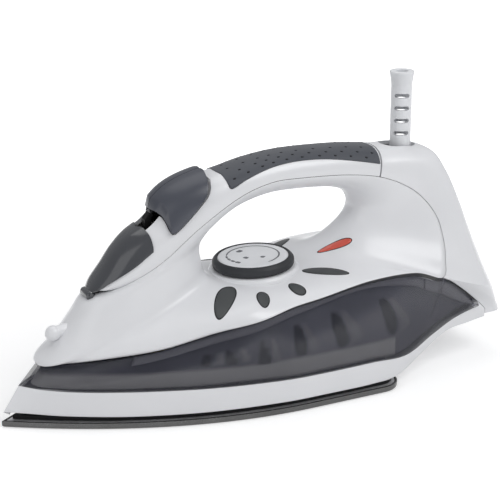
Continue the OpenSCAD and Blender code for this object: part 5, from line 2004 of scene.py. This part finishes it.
@dataclass
class Dial:
    """The thermostat dial: ring and marked disc."""

    housing: Housing
    ring_r: float = 23.6
    disc_r: float = 20.4
    height: float = 5.6
    gap: float = 0.6
    fit: float = 0.15
    turn: float = 27.5
    arc_r: float = 15.1
    arc_half: float = 0.46
    arc_span: tuple[float, float] = (-55, 242)
    steps_span: float = 60
    step_length: float = 13.5
    face_rise: float = 0.25
    face_drop: float = 0.02
    face_edge: float = 1.2
    print_lift: float = 0.05
    # name, place to the right and to the back of the view, half length, half width
    marks: tuple[tuple[str, float, float, float, float], ...] = (
        ("dial_mark_a", -7.7, 6.8, 1.9, 1.5),
        ("dial_mark_b", -3.9, -4.6, 1.5, 1.3),
        ("dial_mark_c", 5.7, -4.2, 1.3, 1.2),
    )
    at: Matrix = field(default_factory=Matrix)

    def build(self, finish: Finishes) -> None:
        """Build the ring and the disc.

        Args:
            finish: the finishes.
        """
        at = self.housing.dial_matrix() @ Matrix.Translation((0, 0, self.gap))
        h, r, rim = self.height, self.ring_r, self.disc_r
        corners = [
            (0, 0), (r - 0.5, 0), (r, 0.8), (r, h - 2), (r - 1.8, h - 0.1), (rim + self.fit, h),
            (rim + self.fit, h - 1.2), (0, h - 1.2),
        ]
        ring = lathe("dial_ring", soft_profile(corners, 0.7), at, 128)
        settle(ring, finish["dial_ring"], "dial_ring", Body.DIAL, "dial_knob")
        corners = [
            (0, h + self.face_rise), (rim - self.face_edge, h - self.face_drop), (rim, h - 0.5),
            (rim, h - 1.1), (0, h - 1.1),
        ]
        disc = lathe("dial_face", soft_profile(corners, 0.6), at, 128)
        settle(disc, finish["guard_rubber"], "dial_face", Body.DIAL, "dial_disc")
        self.at = at
        first, last = self.arc_span
        arc_end = last - self.steps_span - 2
        prints = [self.ribbon("dial_arc", self.arc_r, self.arc_half, first, arc_end)]
        for i in range(4):
            start = last - self.steps_span * (1 - i / 4)
            r, half = self.arc_r - 0.3 * i, 0.55 + 0.16 * i
            prints.append(self.ribbon(f"dial_step_{i}", r, half, start, start + self.step_length))
        for name, across, deep, wide, tall in self.marks:
            r, around = math.hypot(across, deep), math.degrees(math.atan2(deep, across))
            reach = math.degrees(wide / r)
            prints.append(self.ribbon(name, r, tall, around - reach, around + reach))
        for piece in prints:
            settle(piece, finish["dial_print"], "dial_face", Body.DIAL)

    def ribbon(
        self, name: str, r: float, half: float, first: float, last: float
    ) -> bpy.types.Object:
        """Make a printed line along a circle of the disc.

        Args:
            name: the object's name.
            r: the circle's radius.
            half: half of the line's width.
            first: angle where it starts, in degrees from the right of the view.
            last: angle where it ends.

        Returns:
            The line.
        """
        slope = (self.face_rise + self.face_drop) / (self.disc_r - self.face_edge)

        def place(a: float, b: float) -> Vector:
            """Return the line at share a along it and b across it.

            Args:
                a: share along the line.
                b: share across it.

            Returns:
                The place (x, y, z).
            """
            angle = math.radians(lerp(first, last, a) - self.turn)
            end = 1 - abs(2 * a - 1) ** 24
            d = r + half * (2 * b - 1) * math.sqrt(max(0.05, end))
            z = self.height + self.face_rise + self.print_lift - slope * d
            return self.at @ Vector((d * math.cos(angle), d * math.sin(angle), z))

        bm = grid_mesh(max(8, int(abs(last - first) / 3)), 1, place)
        face_outwards(bm, in_frame(*(self.at @ Vector((0, 0, -20)))))
        line = new_object(name, bm)
        solidify(line, 0.2, even=False)
        return line


@dataclass
class Guard:
    """The ribbed cord guard."""

    ball_x: float = 252.0
    r: float = 6.2
    bore: float = 3.7
    top: float = 173.0
    foot: float = 109.7
    collar: tuple[float, float] = (8, 1.1)  # length of the flared end, how far it flares
    turn: float = -27.5
    windows: tuple[float, ...] = (136.8, 144.2, 151.6, 159.0)
    window_half: tuple[float, float] = (4.3, 1.3)
    notches: tuple[float, ...] = (133.2, 140.6, 148.0, 155.4)
    notch_half: tuple[float, float] = (8.5, 1.05)
    slot_reach: tuple[float, float] = (6, 7)  # half depth of a slot's cutter, its distance

    def turned(self, piece: bpy.types.Object) -> bpy.types.Object:
        """Turn a piece about the guard's axis and return it.

        Args:
            piece: the piece.

        Returns:
            The same piece.
        """
        axis = in_frame(self.ball_x, 0, 0)
        spin = Matrix.Rotation(math.radians(self.turn), 4, "Z")
        piece.data.transform(Matrix.Translation(axis) @ spin @ Matrix.Translation(-axis))
        return piece

    def window(self, z: float, side: int, half: float, tall: float) -> bpy.types.Object:
        """Make the cutter of a slot in the near or the far half of the sleeve.

        Args:
            z: the slot's height.
            side: -1 for the near half, 1 for the far one.
            half: half of its length.
            tall: half of its height.

        Returns:
            The cutter.
        """
        ends = half_circle(1.0, 15)
        outline = [(self.ball_x + half - tall + tall * c, z + tall * s) for c, s in ends]
        outline += [(self.ball_x - half + tall - tall * c, z - tall * s) for c, s in ends]
        deep, away = self.slot_reach
        piece = side_prism(outline, deep)
        piece.data.transform(Matrix.Translation((0, side * away * MM, 0)))
        return self.turned(piece)

    def build(self, finish: Finishes) -> None:
        """Build the guard's sleeve with its flexing slots.

        Args:
            finish: the finishes.
        """
        r, bore, top, foot = self.r, self.bore, self.top, self.foot
        length, flare = self.collar
        corners = [
            (bore, foot), (r, foot), (r, top - length), (r + flare, top), (bore, top), (bore, foot),
        ]
        place = Matrix.Translation((self.ball_x, 0, 0))
        sleeve = lathe("guard_sleeve", soft_profile(corners, 0.5), place, 64)
        cutters = [self.window(z, -1, *self.window_half) for z in self.windows]
        cutters += [self.window(z, 1, *self.notch_half) for z in self.notches]
        cut(sleeve, cutters)
        mark_sharp(sleeve)
        settle(sleeve, finish["guard_rubber"], "guard_rubber", Body.GUARD, "cord_guard")


def dress_nodes(frame: dict, finish: Finishes) -> None:
    """Give every CAD node that stays visible its finish.

    Args:
        frame: the loaded frame.
        finish: the finishes.
    """
    by_slot = {
        "steel": "spring_steel", "casting": "cast_metal", "element": "cast_metal",
        "black_plastic": "black_band_and_painted_shade", "white_plastic": "white_shell",
        "smoke_plastic": "smoke_tank", "seal_rubber": "seal_and_painted_shade", "soft_grip": "soft_grip",
        "grey_gloss": "door_gloss", "grey_plastic": "button_satin",
        "ivory_plastic": "ivory", "brass": "brass", "dial_ring": "dial_ring",
        "dial_face": "guard_rubber", "ceramic": "ceramic", "guard_rubber": "guard_rubber",
        "petal_grey": "petal_grey", "lens_red": "lens_red", "lamp_glass": "lens_red",
        "wire_red": "wire_red", "wire_blue": "wire_blue",
    }
    by_name = {"door_hinge_pin": "door_gloss"}
    slots = {part["node"]: part["material_slot"] for part in frame["record"]["subparts"]}
    for name, node in frame["nodes"].items():
        node.data.materials.clear()
        node.data.materials.append(finish[by_name.get(name, by_slot[slots[name]])])


# --------------------------------------------------------------------------
# Camera, light and floor
# --------------------------------------------------------------------------
@dataclass
class Studio:
    """The camera, the lamps and the floor."""

    azimuth: float = 27.5
    elevation: float = 18.5
    distance: float = 0.9
    lens: float = 113.3
    target: Point = (-0.001094, 0.0, 0.078421)
    lamp_aim: Point = (0, 0, 0.05)
    shadow_r: float = 0.18
    white_r: float = 0.5
    floor_lift: float = 0.34
    sky: float = 0.42

    def build_camera(self) -> None:
        """Place the camera on the iron's right-hand side, towards the nose."""
        a, e = math.radians(self.azimuth), math.radians(self.elevation)
        back = Vector((-math.sin(a) * math.cos(e), -math.cos(a) * math.cos(e), math.sin(e)))
        data = bpy.data.cameras.new("camera")
        data.lens = self.lens
        data.sensor_width = 36.0
        data.clip_end = 20
        cam = bpy.data.objects.new("camera", data)
        cam.location = Vector(self.target) + self.distance * back
        cam.rotation_euler = back.to_track_quat("Z", "Y").to_euler()
        bpy.context.scene.collection.objects.link(cam)
        bpy.context.scene.camera = cam

    def lamp(self, name: str, place: Point, size: float, power: float) -> None:
        """Add a square soft lamp that looks at the iron.

        Args:
            name: the lamp's name.
            place: where it hangs, in metres.
            size: the length of its sides.
            power: its strength in watts.
        """
        data = bpy.data.lights.new(name, "AREA")
        data.size = size
        data.energy = power
        obj = bpy.data.objects.new(name, data)
        obj.location = place
        away = Vector(place) - Vector(self.lamp_aim)
        obj.rotation_euler = away.to_track_quat("Z", "Y").to_euler()
        bpy.context.scene.collection.objects.link(obj)

    def build(self) -> None:
        """Build the lamps, the pale floor and the world."""
        self.lamp("key", (0.55, -0.9, 1.25), 0.8, 9)
        self.lamp("fill", (-1.2, -0.7, 0.6), 1.1, 3)
        self.lamp("top", (0.0, 0.45, 1.5), 1.2, 5)
        self.build_floor()
        self.build_world()

    @staticmethod
    def seen_rays(tree: bpy.types.NodeTree) -> bpy.types.NodeSocket:
        """Return 1 for rays from the camera, from gloss and through glass, else 0.

        Args:
            tree: the material's nodes.

        Returns:
            The output that tells it.
        """
        path = tree.nodes.new("ShaderNodeLightPath")
        gloss, through = path.outputs["Is Glossy Ray"], path.outputs["Is Transmission Ray"]
        bounced = add_math(tree, "MAXIMUM", gloss, through)
        return add_math(tree, "MAXIMUM", path.outputs["Is Camera Ray"], bounced)

    def build_floor(self) -> None:
        """Build the pale floor, which turns to plain white away from the iron's shadow."""
        bm = bmesh.new()
        bmesh.ops.create_grid(bm, x_segments=1, y_segments=1, size=6)
        floor = new_object("floor", bm)
        mat, tree, shader = Paint.blank("floor_white")
        shader.inputs["Base Color"].default_value = (0.86, 0.86, 0.86, 1)
        shader.inputs["Roughness"].default_value = 0.9
        shader.inputs["Emission Color"].default_value = (1, 1, 1, 1)
        where = tree.nodes.new("ShaderNodeTexCoord")
        reach = tree.nodes.new("ShaderNodeVectorMath")
        reach.operation = "LENGTH"
        tree.links.new(where.outputs["Object"], reach.inputs[0])
        fade = tree.nodes.new("ShaderNodeMapRange")
        fade.interpolation_type = "SMOOTHSTEP"
        fade.inputs["From Min"].default_value = self.shadow_r
        fade.inputs["From Max"].default_value = self.white_r
        fade.inputs["To Min"].default_value = self.floor_lift
        tree.links.new(reach.outputs["Value"], fade.inputs["Value"])
        lift = add_math(tree, "MULTIPLY", fade.outputs[0], self.seen_rays(tree))
        tree.links.new(lift, shader.inputs["Emission Strength"])
        floor.data.materials.append(mat)

    def build_world(self) -> None:
        """Build the studio's even light, seen as plain white."""
        world = bpy.data.worlds.new("studio")
        world.use_nodes = True
        tree = world.node_tree
        light = tree.nodes["Background"]
        light.inputs["Color"].default_value = (0.97, 0.98, 1.0, 1)
        light.inputs["Strength"].default_value = self.sky
        seen = tree.nodes.new("ShaderNodeBackground")
        seen.inputs["Color"].default_value = (1, 1, 1, 1)
        mix = tree.nodes.new("ShaderNodeMixShader")
        path = tree.nodes.new("ShaderNodeLightPath")
        tree.links.new(path.outputs["Is Camera Ray"], mix.inputs[0])
        tree.links.new(light.outputs[0], mix.inputs[1])
        tree.links.new(seen.outputs[0], mix.inputs[2])
        tree.links.new(mix.outputs[0], tree.nodes["World Output"].inputs["Surface"])
        bpy.context.scene.world = world
        bpy.context.scene.view_settings.view_transform = "Standard"


def main() -> None:
    """Build the iron's looks round the frame."""
    logging.basicConfig(level=logging.INFO, format="%(message)s")
    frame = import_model()
    studio = Studio()
    studio.build_camera()
    finish = Finishes()
    finish.build()
    dress_nodes(frame, finish)
    base = Base()
    base.build_sole(finish)
    base.build_skirt(finish)
    base.build_tank(finish)
    housing = Housing()
    housing.build(finish)
    Inlays(housing).build(finish)
    covers = Covers()
    covers.build(finish)
    HandlePieces(covers).build(finish)
    Dial(housing).build(finish)
    Guard().build(finish)
    studio.build()


if __name__ == "__main__":
    main()
